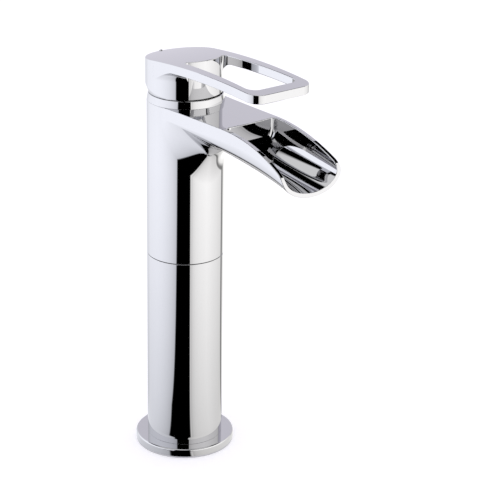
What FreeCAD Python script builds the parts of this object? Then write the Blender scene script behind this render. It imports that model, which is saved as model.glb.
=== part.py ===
"""Tall waterfall basin mixer tap.

Millimetres. Z is up and the origin is the centre of the underside of the foot.
The spout and the lever point to -Y, so hot is at -X and cold is at +X.
"""
import FreeCAD, Part
import os
from math import asin, cos, pi, radians, sin, sqrt

V = FreeCAD.Vector
across = V(1, 0, 0)
rearward = V(0, 1, 0)
os.makedirs("parts", exist_ok=True)

# ---------------------------------------------------------------- driving sizes
# column
column_radius = 25.0
column_wall = 3.0
flange_radius = 32.8
flange_thickness = 6.1
flange_edge_round = 1.2
seam_height = 135.7
deck_height = 239.9
seam_gasket_thickness = 0.4
seam_gasket_inset = 0.3
seam_chamfer = 0.3
gasket_inner_radius = 24.6
gasket_width = 5.0
gasket_depth = 2.0

# foot block, water pipes and tie bolts
block_height = 30.0
pipe_offset = 9.0
pipe_radius = 5.0
pipe_wall = 0.9
pipe_socket_depth = 9.0
tail_thread_radius = 4.5
tail_thread_depth = 13.0
stud_offset = 14.0
stud_thread_radius = 3.4
stud_thread_depth = 14.0
tie_bolt_radius = 2.5
tie_bolt_pitch_radius = 16.5
tie_bolt_angle = 35.0
tie_bolt_thread = 9.0
bolt_head_radius = 4.25
bolt_head_height = 5.0
bolt_head_recess = 0.6
bolt_key_radius = 2.3
bolt_key_depth = 2.5
o_ring_thickness = 1.5
block_ring_thickness = 2.3
joint_ring_wall = 2.2
joint_ring_length = 28.0

# spout
spout_root_half_width = 24.2
spout_waist_half_width = 22.1
spout_waist_reach = 84.0
spout_mouth_half_width = 23.5
spout_reach = 124.5
lip_drop = 30.3
mouth_lean = 2.6
rim_arc_start = 63.0
rim_arc_radius = 118.0
rim_nose_radius = 11.0
underside_slope = 0.134
spout_start = 2.0
spout_stations = 7
spout_side_wall = 3.0
spout_floor_wall = 2.5
spout_root_fillet = 8.0
deck_thickness = 2.8
deck_edge_reach = 64.5
deck_edge_bow = 2.0
apron_drop = 10.8
apron_thickness = 3.0
apron_corner_radius = 3.0
chamber_back = 24.5
port_radius = 2.2
port_pitch = 6.0
port_lift = 0.4
guide_reach = 44.0
guide_thickness = 3.0
guide_hole_radius = 1.1
guide_hole_pitch = 3.4

# cartridge
bore_radius = 18.5
cartridge_radius = 17.5
housing_wall = 1.8
housing_lip = 3.0
nut_radius = 20.0
nut_web = 3.4
nut_thread_length = 5.5
nut_neck_gap = 0.9
nut_slot_width = 4.0
nut_slots = 3
seat_thickness = 15.0
base_height = 6.2
base_step = 3.0
disc_thickness = 4.0
disc_pocket_rim = 2.4
driver_height = 7.2
driver_radius = 8.6
turret_flange = 3.5
neck_radius = 12.6
water_way_radius = 2.1
water_way_offset = 6.2
water_way_forward = 0.5
outlet_forward = 6.0
outlet_radius = 2.4
cartridge_ring_thickness = 1.5
turret_ring_thickness = 1.0
seal_width = 1.2
seal_thickness = 1.2

# lever mechanism
pivot_rise = 17.5
lift_angle = 18.0
pin_radius = 1.5
ear_radius = 3.6
ear_thickness = 4.6
spindle_square = 7.8
spindle_top = 7.4
spindle_arm_width = 6.0
spindle_arm_depth = 5.2
ball_radius = 2.8
ball_neck_radius = 2.0

# handle
cap_radius = 24.6
cap_setback = 2.0
cap_gap = 0.2
cap_wall = 2.6
cap_roof = 4.0
crown_height = 30.6
crown_radius = 700.0
crown_forward = 37.5
loop_reach = 96.0
loop_root_half_width = 24.5
loop_front_half_width = 23.5
loop_corner_radius = 9.0
loop_thickness = 5.6
loop_front_bar = 9.0
finger_root_half_width = 15.4
finger_front_half_width = 18.3
finger_corner_radius = 6.5
finger_root_round = 2.2
boss_radius = 11.0
boss_gap = 0.4
tilt_sphere_radius = 26.6
tilt_clearance = 0.3
grub_screw_radius = 1.5
grub_screw_length = 6.0
grub_screw_rise = 6.0
plug_radius = 2.6
plug_length = 2.4

# trim ring under the cap
ring_height = 4.9
ring_bottom_radius = 24.95
ring_top_radius = 24.1
ring_foot_depth = 1.5
ring_foot_inner_radius = 21.6
ring_foot_width = 1.6

# fits; cutters run past what they cut by the overrun
fit = 0.05
bearing_fit = 0.04
thread_fit = 0.05
loose_fit = 0.2
face_gap = 0.1
overrun = 1.0

# ---------------------------------------------------------------- derived places
column_bore = column_radius - column_wall
upper_foot = seam_height + seam_gasket_thickness
pivot_height = deck_height + pivot_rise
lift = radians(lift_angle)
half_lift = lift_angle / 2
cap_bottom = deck_height + ring_height + cap_gap
skirt_drop = pivot_height - cap_bottom
skirt_radius = sqrt(tilt_sphere_radius ** 2 - skirt_drop ** 2)
skirt_dip = skirt_radius * sin(lift) + skirt_drop * cos(lift)

# the cartridge hangs below the lowest point that the tilting skirt reaches
nut_top = pivot_height - skirt_dip - 2 * tilt_clearance
housing_top = nut_top - nut_web
flange_top = housing_top - housing_lip - face_gap
flange_bottom = flange_top - turret_flange
driver_top = flange_bottom - tilt_clearance
driver_bottom = driver_top - driver_height
fixed_disc_top = driver_bottom - disc_thickness
base_top = fixed_disc_top - disc_thickness
seat_height = base_top - base_height
seat_underside = seat_height - seat_thickness
housing_bottom = seat_height + base_step
housing_bore = cartridge_radius - housing_wall
nut_bottom = nut_top - nut_thread_length

ball_low = driver_top - ball_radius - 2 * tilt_clearance
spindle_arm = pivot_height - ball_low
disc_travel = 2 * spindle_arm * sin(radians(half_lift))
moving_disc_radius = housing_bore - disc_travel / 2 - 2 * tilt_clearance
boss_bottom = pivot_height + ear_radius + boss_gap
neck_shoulder = pivot_height - ear_radius - loose_fit

pipe_bottom = block_height - pipe_socket_depth
pipe_top = seat_underside + pipe_socket_depth
tie_x = tie_bolt_pitch_radius * cos(radians(tie_bolt_angle))
tie_y = tie_bolt_pitch_radius * sin(radians(tie_bolt_angle))
tie_places = [(tie_x, tie_y), (-tie_x, -tie_y)]
pipe_places = [(-pipe_offset, 0.0), (pipe_offset, 0.0)]
water_ways = [(-water_way_offset, -water_way_forward), (water_way_offset, -water_way_forward)]

ring_foot_radius = ring_foot_inner_radius + ring_foot_width
lip_height = deck_height - lip_drop
crown_top = deck_height + crown_height
pin_half_length = spindle_square / 2 + ear_thickness
hexagon = [k * pi / 3 for k in range(6)]
big = 4 * spout_reach


# ---------------------------------------------------------------- plain solids
def rod(radius, low, high, x=0.0, y=0.0):
    """Upright cylinder between two heights."""
    return Part.makeCylinder(radius, high - low, V(x, y, low))


def bar(radius, length, start, direction):
    """Cylinder from a point along a direction."""
    return Part.makeCylinder(radius, length, start, direction)


def tube(outer, inner, low, high, x=0.0, y=0.0):
    """Upright tube between two heights."""
    return rod(outer, low, high, x, y).cut(rod(inner, low - overrun, high + overrun, x, y))


def block(x0, x1, y0, y1, z0, z1):
    """Box between two corners."""
    return Part.makeBox(x1 - x0, y1 - y0, z1 - z0, V(x0, y0, z0))


def o_ring(hole_radius, thickness, height, x=0.0, y=0.0):
    """Round rubber ring that lies around a hole of the given radius."""
    major = hole_radius + thickness / 2
    return Part.makeTorus(major, thickness / 2, V(x, y, height), V(0, 0, 1))


def joined(first, others):
    """One solid from several that touch."""
    return first.fuse(others).removeSplitter()


def prism(points, direction):
    """Closed polygon pushed along a direction."""
    return Part.Face(Part.makePolygon(points + points[:1])).extrude(direction)


def mirrored_wire(edges):
    """Edges of the +X half and their mirror images, joined to one face."""
    plane = V(1, 0, 0)
    twins = [edge.mirror(V(0, 0, 0), plane) for edge in edges]
    return Part.Face(Part.Wire(Part.__sortEdges__(edges + twins)))


def turned(solid, angle):
    """Turn about the lever's pin; a positive angle lifts the lever."""
    copy = solid.copy()
    copy.rotate(V(0, 0, pivot_height), V(-1, 0, 0), angle)
    return copy


# ---------------------------------------------------------------- foot
def base_flange():
    disc = rod(flange_radius, 0, flange_thickness)
    rim = [e for e in disc.Edges if abs(e.BoundBox.ZMin - flange_thickness) < 1e-6]
    disc = disc.makeFillet(flange_edge_round, rim)
    disc = disc.cut(rod(column_bore + loose_fit, -overrun, flange_thickness + overrun))
    outer = gasket_inner_radius + gasket_width
    return disc.cut(tube(outer + fit, gasket_inner_radius - fit, -overrun, gasket_depth))


def base_gasket():
    return tube(gasket_inner_radius + gasket_width, gasket_inner_radius, 0, gasket_depth)


def inlet_block():
    """Brass plug in the foot with the tail threads, stud threads and pipe sockets."""
    solid = rod(column_bore - fit, 0, block_height)
    ring_middle = (flange_thickness + block_height) / 2
    groove_radius = column_bore - fit - block_ring_thickness - fit
    half = block_ring_thickness / 2 + fit
    cuts = [tube(column_radius, groove_radius, ring_middle - half, ring_middle + half)]
    for x, y in pipe_places:
        cuts.append(rod(tail_thread_radius, -overrun, tail_thread_depth, x, y))
        cuts.append(rod(pipe_radius - pipe_wall, 0, block_height, x, y))
        cuts.append(rod(pipe_radius + fit, pipe_bottom, block_height + overrun, x, y))
        cuts.append(pipe_ring_groove(block_height - pipe_socket_depth / 2, x, y))
    for y in (-stud_offset, stud_offset):
        cuts.append(rod(stud_thread_radius, -overrun, stud_thread_depth, 0, y))
    for x, y in tie_places:
        cuts.append(rod(tie_bolt_radius + loose_fit, -overrun, block_height + overrun, x, y))
        cuts.append(rod(bolt_head_radius + loose_fit, -overrun, bolt_seat(), x, y))
    return solid.cut(cuts)


def bolt_seat():
    """Height of the shoulder that the tie bolts' heads pull against."""
    return bolt_head_recess + bolt_head_height


def block_o_ring():
    inner = column_bore - fit - block_ring_thickness
    return o_ring(inner, block_ring_thickness, (flange_thickness + block_height) / 2)


def pipe_ring_groove(height, x, y):
    half = o_ring_thickness / 2 + fit
    return rod(pipe_radius + fit + o_ring_thickness + fit, height - half, height + half, x, y)


def pipe_o_rings():
    heights = (block_height - pipe_socket_depth / 2, seat_underside + pipe_socket_depth / 2)
    rings = []
    for height in heights:
        for x, y in pipe_places:
            rings.append(o_ring(pipe_radius + fit, o_ring_thickness, height, x, y))
    return Part.makeCompound(rings)


def pipe(place):
    return tube(pipe_radius, pipe_radius - pipe_wall, pipe_bottom, pipe_top, *place)


def tie_bolts():
    """Two long screws that pull the upper body and the column down on the foot."""
    bolts = []
    for x, y in tie_places:
        shank = rod(tie_bolt_radius, bolt_head_recess, seat_underside + tie_bolt_thread, x, y)
        bolt = joined(shank, [rod(bolt_head_radius, bolt_head_recess, bolt_seat(), x, y)])
        foot = V(x, y, bolt_head_recess)
        corners = [foot + V(cos(turn), sin(turn), 0) * bolt_key_radius for turn in hexagon]
        bolts.append(bolt.cut(prism(corners, V(0, 0, bolt_key_depth))))
    return Part.makeCompound(bolts)


# ---------------------------------------------------------------- column
def lower_column():
    solid = rod(column_radius, flange_thickness, seam_height)
    top = [e for e in solid.Edges if abs(e.BoundBox.ZMin - seam_height) < 1e-6]
    solid = solid.makeChamfer(seam_chamfer, top)
    return solid.cut(rod(column_bore, 0, seam_height + overrun))


def seam_gasket():
    return tube(column_radius - seam_gasket_inset, column_bore + fit, seam_height, upper_foot)


def joint_ring():
    """Sleeve inside the seam that keeps the two halves of the column in line."""
    middle = (seam_height + upper_foot) / 2
    outer = column_bore - fit
    half = joint_ring_length / 2
    return tube(outer, outer - joint_ring_wall, middle - half, middle + half)


# ---------------------------------------------------------------- spout
def underside(reach):
    """Height of the lowest line of the spout at a reach."""
    return lip_height + underside_slope * (spout_reach - reach)


def rim_height(reach):
    """Height of the trough's rim: level over the deck, then an arc that falls."""
    past = max(0.0, reach - rim_arc_start)
    return deck_height - rim_arc_radius + sqrt(rim_arc_radius ** 2 - past ** 2)


def half_width(reach):
    """Half width of the spout: drawn in at the waist and flared to the mouth."""
    share = reach / spout_waist_reach - 1
    end = spout_root_half_width if share < 0 else spout_mouth_half_width
    span = 1 if share < 0 else spout_reach / spout_waist_reach - 1
    return spout_waist_half_width + (end - spout_waist_half_width) * (share / span) ** 2


def section(reach, side_wall, floor_wall):
    """Closed U of the spout across its length: half an ellipse below upright walls."""
    half = half_width(reach) - side_wall
    rim = rim_height(min(reach, spout_reach))
    depth = rim - underside(reach) - floor_wall
    middle = V(0, -reach, rim)
    right = middle + V(half, 0, 0)
    left = middle - V(half, 0, 0)
    bottom = middle - V(0, 0, depth)
    if half > depth:
        bowl = Part.Ellipse(right, bottom, middle).toShape(0, pi)
    else:
        bowl = Part.Ellipse(bottom, right, middle).toShape(-pi / 2, pi / 2)
    rise = V(0, 0, deck_height + spout_side_wall - rim)
    corners = [right, right + rise, left + rise, left]
    walls = [Part.makeLine(a, b) for a, b in zip(corners, corners[1:])]
    return Part.Wire([bowl] + walls)


def spout_form(side_wall, floor_wall, start):
    """Spout from a reach near the column to past the mouth, before it is trimmed."""
    step = (spout_reach + overrun - start) / (spout_stations - 1)
    reaches = [start + step * k for k in range(spout_stations)]
    return Part.makeLoft([section(r, side_wall, floor_wall) for r in reaches], True, False)


def side_trim():
    """What lies under the deck, the falling rim, the nose and behind the mouth, as a side outline."""
    lip_foot = V(0, -spout_reach, lip_height)
    mouth_top = V(0, -spout_reach + mouth_lean, rim_height(spout_reach))
    down = (lip_foot - mouth_top).normalize()
    deep = lip_foot + down * spout_reach
    centre = V(0, -rim_arc_start, deck_height - rim_arc_radius)
    angle = asin((spout_reach + rim_nose_radius - rim_arc_start) / rim_arc_radius)
    far = centre + V(0, -sin(angle), cos(angle)) * rim_arc_radius
    half_way = centre + V(0, -sin(angle / 2), cos(angle / 2)) * rim_arc_radius
    start = V(0, -rim_arc_start, deck_height)
    back = V(0, 2 * column_radius, deck_height)
    low_back = V(0, 2 * column_radius, deep.z)
    edges = [Part.makeLine(back, start), Part.Arc(start, half_way, far).toShape()]
    below = V(0, far.y, deep.z)
    edges += [Part.makeLine(far, below), Part.makeLine(below, low_back), Part.makeLine(low_back, back)]
    under_rim = Part.Face(Part.Wire(edges)).extrude(V(big, 0, 0))
    under_rim.translate(V(-big / 2, 0, 0))
    above = mouth_top - down * spout_reach
    behind = prism([V(-big / 2, above.y, above.z), V(-big / 2, deep.y, deep.z),
                    V(-big / 2, low_back.y, deep.z), V(-big / 2, low_back.y, above.z)], V(big, 0, 0))
    trim = under_rim.common(behind)
    nose = []
    for edge in trim.Edges:
        level = edge.BoundBox.YLength < fit and edge.BoundBox.ZLength < fit
        if level and edge.CenterOfMass.y < -rim_arc_start and edge.CenterOfMass.z > lip_height:
            nose.append(edge)
    return trim.makeFillet(rim_nose_radius, nose)


def behind_bow(reach, low):
    """All that lies behind the bowed line at a reach, from a height to above the rim."""
    half = spout_root_half_width + overrun
    corner = reach - deck_edge_bow
    arc = Part.Arc(V(-half, -corner, low), V(0, -reach, low), V(half, -corner, low)).toShape()
    back = [V(half, -corner, low), V(half, 0, low), V(-half, 0, low), V(-half, -corner, low)]
    lines = [Part.makeLine(a, b) for a, b in zip(back, back[1:])]
    return Part.Face(Part.Wire([arc] + lines)).extrude(V(0, 0, deck_height + spout_side_wall - low))


def deck_plate():
    """The deck over the root of the trough. Its bowed front edge turns down to the water slot."""
    plate = behind_bow(deck_edge_reach, deck_height - deck_thickness)
    apron = behind_bow(deck_edge_reach, deck_height - apron_drop)
    return plate.fuse(apron.cut(behind_bow(deck_edge_reach - apron_thickness, 0)))


def trough_space():
    """Hollow of the trough and of the chamber under the deck, rounded where the apron meets the walls."""
    hollow = spout_form(spout_side_wall, spout_floor_wall, chamber_back).cut(deck_plate())
    corners = []
    for edge in hollow.Edges:
        box = edge.BoundBox
        on_apron = abs(box.YMin + deck_edge_reach - deck_edge_bow) < deck_edge_bow and box.YLength < deck_edge_bow
        if on_apron and box.ZLength > overrun and box.XLength < apron_drop:
            corners.append(edge)
    return hollow.makeFillet(apron_corner_radius, corners)


def water_ports():
    """Row of holes from the cartridge bore into the chamber under the deck."""
    height = underside(chamber_back) + spout_floor_wall + port_radius + port_lift
    ports = []
    for x in (-port_pitch, 0, port_pitch):
        ports.append(bar(port_radius, chamber_back + overrun, V(x, 0, height), -rearward))
    return ports


def upper_body():
    """Casting with the top of the column, the cartridge bore, the deck and the trough."""
    column = rod(column_radius, upper_foot, deck_height)
    foot = [e for e in column.Edges if abs(e.BoundBox.ZMax - upper_foot) < 1e-6]
    column = column.makeChamfer(seam_chamfer, foot)
    spout = spout_form(0, 0, spout_start).common(side_trim())
    solid = column.fuse(spout)
    solid = root_fillet(solid)
    solid = solid.cut(trough_space())
    cuts = [rod(column_bore, upper_foot - overrun, seat_underside)]
    cuts.append(rod(bore_radius, seat_height, deck_height + overrun))
    cuts.append(rod(nut_radius + thread_fit, nut_bottom - loose_fit, deck_height + overrun))
    low, high = deck_height - ring_foot_depth - face_gap, deck_height + overrun
    cuts.append(tube(ring_foot_radius + fit, ring_foot_inner_radius - fit, low, high))
    for x, y in pipe_places:
        cuts.append(rod(pipe_radius + fit, seat_underside - overrun, pipe_top, x, y))
        cuts.append(pipe_ring_groove(seat_underside + pipe_socket_depth / 2, x, y))
    for x, y in water_ways:
        cuts.append(rod(water_way_radius, pipe_top - overrun, seat_height + overrun, x, y))
    thread_end = seat_underside + tie_bolt_thread + overrun
    for x, y in tie_places:
        cuts.append(rod(tie_bolt_radius + thread_fit, seat_underside - overrun, thread_end, x, y))
    return solid.cut(cuts + water_ports())


def root_fillet(solid):
    """Round the line where the spout leaves the column."""
    edges = []
    for edge in solid.Edges:
        middle = edge.CenterOfMass
        box = edge.BoundBox
        on_column = all(abs(sqrt(v.X ** 2 + v.Y ** 2) - column_radius) < fit for v in edge.Vertexes)
        below_deck = middle.y < 0 and box.ZMin > lip_height and min(box.YLength, box.ZLength) > overrun
        if on_column and below_deck:
            edges.append(edge)
    return solid.makeFillet(spout_root_fillet, edges)


def flow_guide():
    """Perforated plate under the deck that calms the water."""
    form = spout_form(spout_side_wall + fit, spout_floor_wall + fit, chamber_back)
    under_deck = deck_height - deck_thickness
    half = guide_thickness / 2
    plate = form.common(block(-big, big, -guide_reach - half, -guide_reach + half, 0, under_deck - fit))
    middle = (underside(guide_reach) + spout_floor_wall + under_deck) / 2
    front = -guide_reach - guide_thickness
    room = half_width(guide_reach) - spout_side_wall
    columns = int(room / guide_hole_pitch) - 2
    holes = []
    for row in (-1, 0, 1):
        reach = columns - abs(row)
        for k in range(-reach, reach + 1):
            start = V(k * guide_hole_pitch, front, middle - row * guide_hole_pitch)
            holes.append(bar(guide_hole_radius, 2 * guide_thickness, start, rearward))
    return plate.cut(holes)


# ---------------------------------------------------------------- cartridge
def cartridge_base():
    solid = joined(rod(cartridge_radius, seat_height, housing_bottom),
                   [rod(housing_bore - fit, housing_bottom - overrun, base_top)])
    cuts = []
    for x, y in water_ways:
        cuts.append(rod(water_way_radius, seat_height - overrun, base_top + overrun, x, y))
        cuts.append(rod(seal_outer() + fit, seat_height - overrun, seat_height + seal_thickness, x, y))
        cuts.append(rod(seal_outer() + fit, base_top - seal_thickness, base_top + overrun, x, y))
    cuts.append(rod(outlet_radius, seat_height - overrun, base_top + overrun, 0, -outlet_forward))
    channel_top = seat_height + base_step - seal_thickness
    cuts.append(block(-outlet_radius, outlet_radius, -bore_radius, -outlet_forward,
                      seat_height - overrun, channel_top))
    return solid.cut(cuts)


def seal_outer():
    return water_way_radius + fit + seal_width


def ring_seals(height):
    inner = water_way_radius + fit
    return Part.makeCompound([tube(seal_outer(), inner, height, height + seal_thickness, x, y)
                              for x, y in water_ways])


def fixed_disc():
    solid = rod(housing_bore - loose_fit, base_top, fixed_disc_top)
    low, high = base_top - overrun, fixed_disc_top + overrun
    cuts = [rod(water_way_radius, low, high, x, y) for x, y in water_ways]
    cuts.append(rod(outlet_radius, low, high, 0, -outlet_forward))
    return solid.cut(cuts)


def moving_disc():
    """Ceramic disc at the shut end of its travel, with the mixing pocket in its underside."""
    centre = disc_travel / 2
    solid = rod(moving_disc_radius, fixed_disc_top, driver_bottom, 0, centre)
    pocket_front = water_way_radius - water_way_forward + face_gap
    pocket_radius = moving_disc_radius - disc_pocket_rim
    pocket = block(-water_way_offset, water_way_offset, pocket_front, centre + pocket_radius,
                   fixed_disc_top - overrun, fixed_disc_top + disc_thickness / 2)
    return solid.cut(pocket.common(rod(pocket_radius, 0, big, 0, centre)))


def disc_driver():
    """Plastic driver on the moving disc, with the socket for the spindle's ball."""
    centre = disc_travel / 2
    solid = rod(driver_radius, driver_bottom, driver_top, 0, centre)
    floor = ball_low - ball_radius - tilt_clearance
    return solid.cut(rod(ball_radius + 2 * bearing_fit, floor, driver_top + overrun, 0, centre))


def cartridge_housing():
    solid = rod(cartridge_radius, housing_bottom, housing_top)
    under_lip = housing_top - housing_lip
    cuts = [rod(housing_bore, 0, under_lip), rod(neck_radius + bearing_fit, 0, big)]
    span = groove_span(cartridge_ring_height(), cartridge_ring_thickness)
    cuts.append(tube(bore_radius, cartridge_ring_groove(), *span))
    return solid.cut(cuts)


def groove_span(height, thickness):
    """Bottom and top of the groove that holds a ring."""
    return height - thickness / 2 - fit, height + thickness / 2 + fit


def cartridge_ring_height():
    """The seal sits between the water ports and the nut."""
    return nut_bottom - loose_fit - cartridge_ring_thickness / 2 - loose_fit


def cartridge_ring_groove():
    return bore_radius - fit - cartridge_ring_thickness - fit


def cartridge_o_ring():
    """Keeps the mixed water out of the nut's thread."""
    return o_ring(cartridge_ring_groove() + fit, cartridge_ring_thickness, cartridge_ring_height())


def turret_ring_height():
    return housing_top - housing_lip / 2


def turret_o_ring():
    """Seal in the turret's neck, level with the housing's lip."""
    return o_ring(neck_radius - turret_ring_thickness, turret_ring_thickness, turret_ring_height())


def turret():
    """Swivelling carrier: flange under the housing's lip, neck and the two ears for the pin."""
    solid = joined(rod(housing_bore - bearing_fit, flange_bottom, flange_top),
                   [rod(neck_radius, flange_bottom, neck_shoulder)])
    outer = pin_half_length + loose_fit
    ear = block(-outer, outer, -ear_radius, ear_radius, neck_shoulder - overrun, pivot_height)
    top = bar(ear_radius, 2 * outer, V(-outer, 0, pivot_height), across)
    solid = joined(solid, [ear, top])
    half = spindle_square / 2 + loose_fit
    low = flange_bottom - overrun
    swing = (pivot_height - low) * sin(radians(half_lift)) + spindle_arm_depth / 2 + 2 * loose_fit
    top_swing = spindle_square / 2 + 2 * loose_fit
    slot = prism([V(-half, -swing, low), V(-half, swing, low), V(-half, top_swing, pivot_height),
                  V(-half, top_swing, big), V(-half, -top_swing, big), V(-half, -top_swing, pivot_height)],
                 V(2 * half, 0, 0))
    pin_hole = bar(pin_radius + fit, big, V(-big / 2, 0, pivot_height), across)
    groove = tube(2 * neck_radius, neck_radius - turret_ring_thickness - fit,
                  *groove_span(turret_ring_height(), turret_ring_thickness))
    return solid.cut([slot, pin_hole, groove])


def pivot_pin():
    """Cross pin that the lever tilts on."""
    return bar(pin_radius, 2 * pin_half_length, V(-pin_half_length, 0, pivot_height), across)


def cartridge_nut():
    """Nut that holds the cartridge on its seat."""
    solid = rod(nut_radius, nut_bottom, nut_top)
    cuts = [rod(cartridge_radius + loose_fit, 0, housing_top), rod(neck_radius + nut_neck_gap, 0, big)]
    half = nut_slot_width / 2
    for k in range(nut_slots):
        slot = block(-half, half, -big, big, nut_top - nut_web / 2, nut_top + overrun)
        slot.rotate(V(0, 0, 0), V(0, 0, 1), 180 / nut_slots * k)
        cuts.append(slot)
    return solid.cut(cuts)


# ---------------------------------------------------------------- lever
def spindle():
    """Lever of the cartridge, built upright and then laid at the shut end of its swing."""
    half = spindle_square / 2
    hub = bar(half, 2 * half, V(-half, 0, pivot_height), across)
    shank = block(-half, half, -half, half, pivot_height, pivot_height + spindle_top)
    arm_x, arm_y = spindle_arm_width / 2, spindle_arm_depth / 2
    arm_low = driver_top + arm_y * sin(radians(half_lift)) + tilt_clearance
    arm = block(-arm_x, arm_x, -arm_y, arm_y, arm_low, pivot_height)
    neck = rod(ball_neck_radius, ball_low, arm_low + overrun)
    ball = Part.makeSphere(ball_radius, V(0, 0, ball_low))
    solid = joined(hub, [shank, arm, neck, ball])
    pin_hole = bar(pin_radius + bearing_fit, big, V(-big / 2, 0, pivot_height), across)
    return turned(solid.cut(pin_hole), -half_lift)


def spindle_socket():
    """Square hole of the handle's boss, with room for the spindle."""
    half = spindle_square / 2 + fit
    hole = block(-half, half, -half, half, pivot_height, pivot_height + spindle_top + 2 * fit)
    return turned(hole, -half_lift)


def crown():
    """Everything below the handle's top face, which is a shallow arc along its length."""
    centre = V(-big / 2, -crown_forward, crown_top - crown_radius)
    return bar(crown_radius, big, centre, across)


def loop_plan():
    """Outline of the cap and the loop seen from above."""
    tip = loop_front_half_width - loop_corner_radius
    corner = loop_reach - loop_corner_radius
    turn = loop_corner_radius * sin(pi / 4)
    root = V(loop_root_half_width, -cap_setback, 0)
    side = V(loop_front_half_width, -corner, 0)
    front = V(tip, -loop_reach, 0)
    bend = V(tip + turn, -corner - turn, 0)
    edges = [Part.makeLine(V(0, -cap_setback, 0), root), Part.makeLine(root, side)]
    edges += [Part.Arc(side, bend, front).toShape(), Part.makeLine(front, V(0, -loop_reach, 0))]
    return mirrored_wire(edges)


def finger_hole():
    """Hole of the loop, between the cap's front wall and the front bar."""
    reach = loop_reach - loop_front_bar
    corner = reach - finger_corner_radius
    tip = finger_front_half_width - finger_corner_radius
    turn = finger_corner_radius * sin(pi / 4)
    root = V(finger_root_half_width, 0, 0)
    side = V(finger_front_half_width, -corner, 0)
    bend = V(tip + turn, -corner - turn, 0)
    front = V(tip, -reach, 0)
    edges = [Part.makeLine(V(0, 0, 0), root), Part.makeLine(root, side)]
    edges += [Part.Arc(side, bend, front).toShape(), Part.makeLine(front, V(0, -reach, 0))]
    hole = mirrored_wire(edges).extrude(V(0, 0, big))
    hole = hole.cut(rod(cap_radius, -overrun, big + overrun, 0, cap_setback))
    corners = []
    for edge in hole.Edges:
        place = edge.CenterOfMass - V(0, cap_setback, 0)
        upright = edge.BoundBox.XLength < fit and edge.BoundBox.YLength < fit
        if upright and abs(sqrt(place.x ** 2 + place.y ** 2) - cap_radius) < fit:
            corners.append(edge)
    return hole.makeFillet(finger_root_round, corners)


def handle():
    """Cap and loop in one casting."""
    cap = rod(cap_radius, cap_bottom, crown_top + overrun, 0, cap_setback)
    cap = cap.common(tilt_zone())
    low_side = crown()
    low_side.translate(V(0, 0, -loop_thickness))
    loop = loop_plan().extrude(V(0, 0, big)).cut([low_side, rod(cap_radius - overrun, 0, big, 0, cap_setback)])
    solid = cap.fuse(loop).cut(finger_hole()).common(crown()).removeSplitter()
    cavity_radius = (2 * cap_radius - 2 * cap_wall - cap_setback) / 2 - face_gap
    cavity_back = cap_radius - cap_setback - cap_wall - cavity_radius
    roof = crown_top - cap_roof - (crown_forward + cap_radius) ** 2 / (2 * crown_radius)
    cavity = rod(cavity_radius, 0, roof, 0, -cavity_back).cut(rod(boss_radius, boss_bottom, big))
    solid = solid.cut([cavity, spindle_socket()])
    screw_height = pivot_height + grub_screw_rise
    screw_hole = bar(grub_screw_radius + thread_fit, big, V(0, 0, screw_height), rearward)
    plug_hole = bar(plug_radius + fit, big, V(0, plug_inner() - fit, screw_height), rearward)
    return solid.cut([screw_hole, plug_hole])


def tilt_zone():
    """Sphere about the pin, and all the space above where the cap's wall comes out of it."""
    ball = Part.makeSphere(tilt_sphere_radius, V(0, 0, pivot_height))
    start = pivot_height - sqrt(max(0.0, tilt_sphere_radius ** 2 - (cap_radius + cap_setback) ** 2))
    return ball.fuse(rod(2 * cap_radius, start, crown_top + big))


def plug_inner():
    """Where the screw cover's inner face lies."""
    return cap_radius + cap_setback - plug_length


def grub_screw():
    start = V(0, screw_tip(), pivot_height + grub_screw_rise)
    screw = bar(grub_screw_radius, grub_screw_length, start, rearward)
    key_floor = start + V(0, grub_screw_length - grub_screw_radius, 0)
    corners = [key_floor + V(cos(turn), 0, sin(turn)) * (grub_screw_radius / 2) for turn in hexagon]
    return screw.cut(prism(corners, V(0, 2 * grub_screw_radius, 0)))


def screw_tip():
    """The grub screw stops just short of the spindle's sloping rear face."""
    lean = radians(half_lift)
    face = spindle_square / 2 / cos(lean) - (grub_screw_rise - grub_screw_radius) * sin(lean) / cos(lean)
    return face + fit


def grub_screw_cover():
    body = bar(plug_radius, big, V(0, plug_inner(), pivot_height + grub_screw_rise), rearward)
    return body.common(rod(cap_radius, 0, big, 0, cap_setback))


def trim_ring():
    """Ring between the deck and the cap, hollowed to let the cap's skirt tilt."""
    cone = Part.makeCone(ring_bottom_radius, ring_top_radius, ring_height, V(0, 0, deck_height))
    foot = rod(ring_foot_radius, deck_height - ring_foot_depth, deck_height + overrun)
    solid = joined(cone, [foot])
    hollow = Part.makeSphere(tilt_sphere_radius + tilt_clearance, V(0, 0, pivot_height))
    return solid.cut([hollow, rod(ring_foot_inner_radius, 0, deck_height)])


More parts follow.
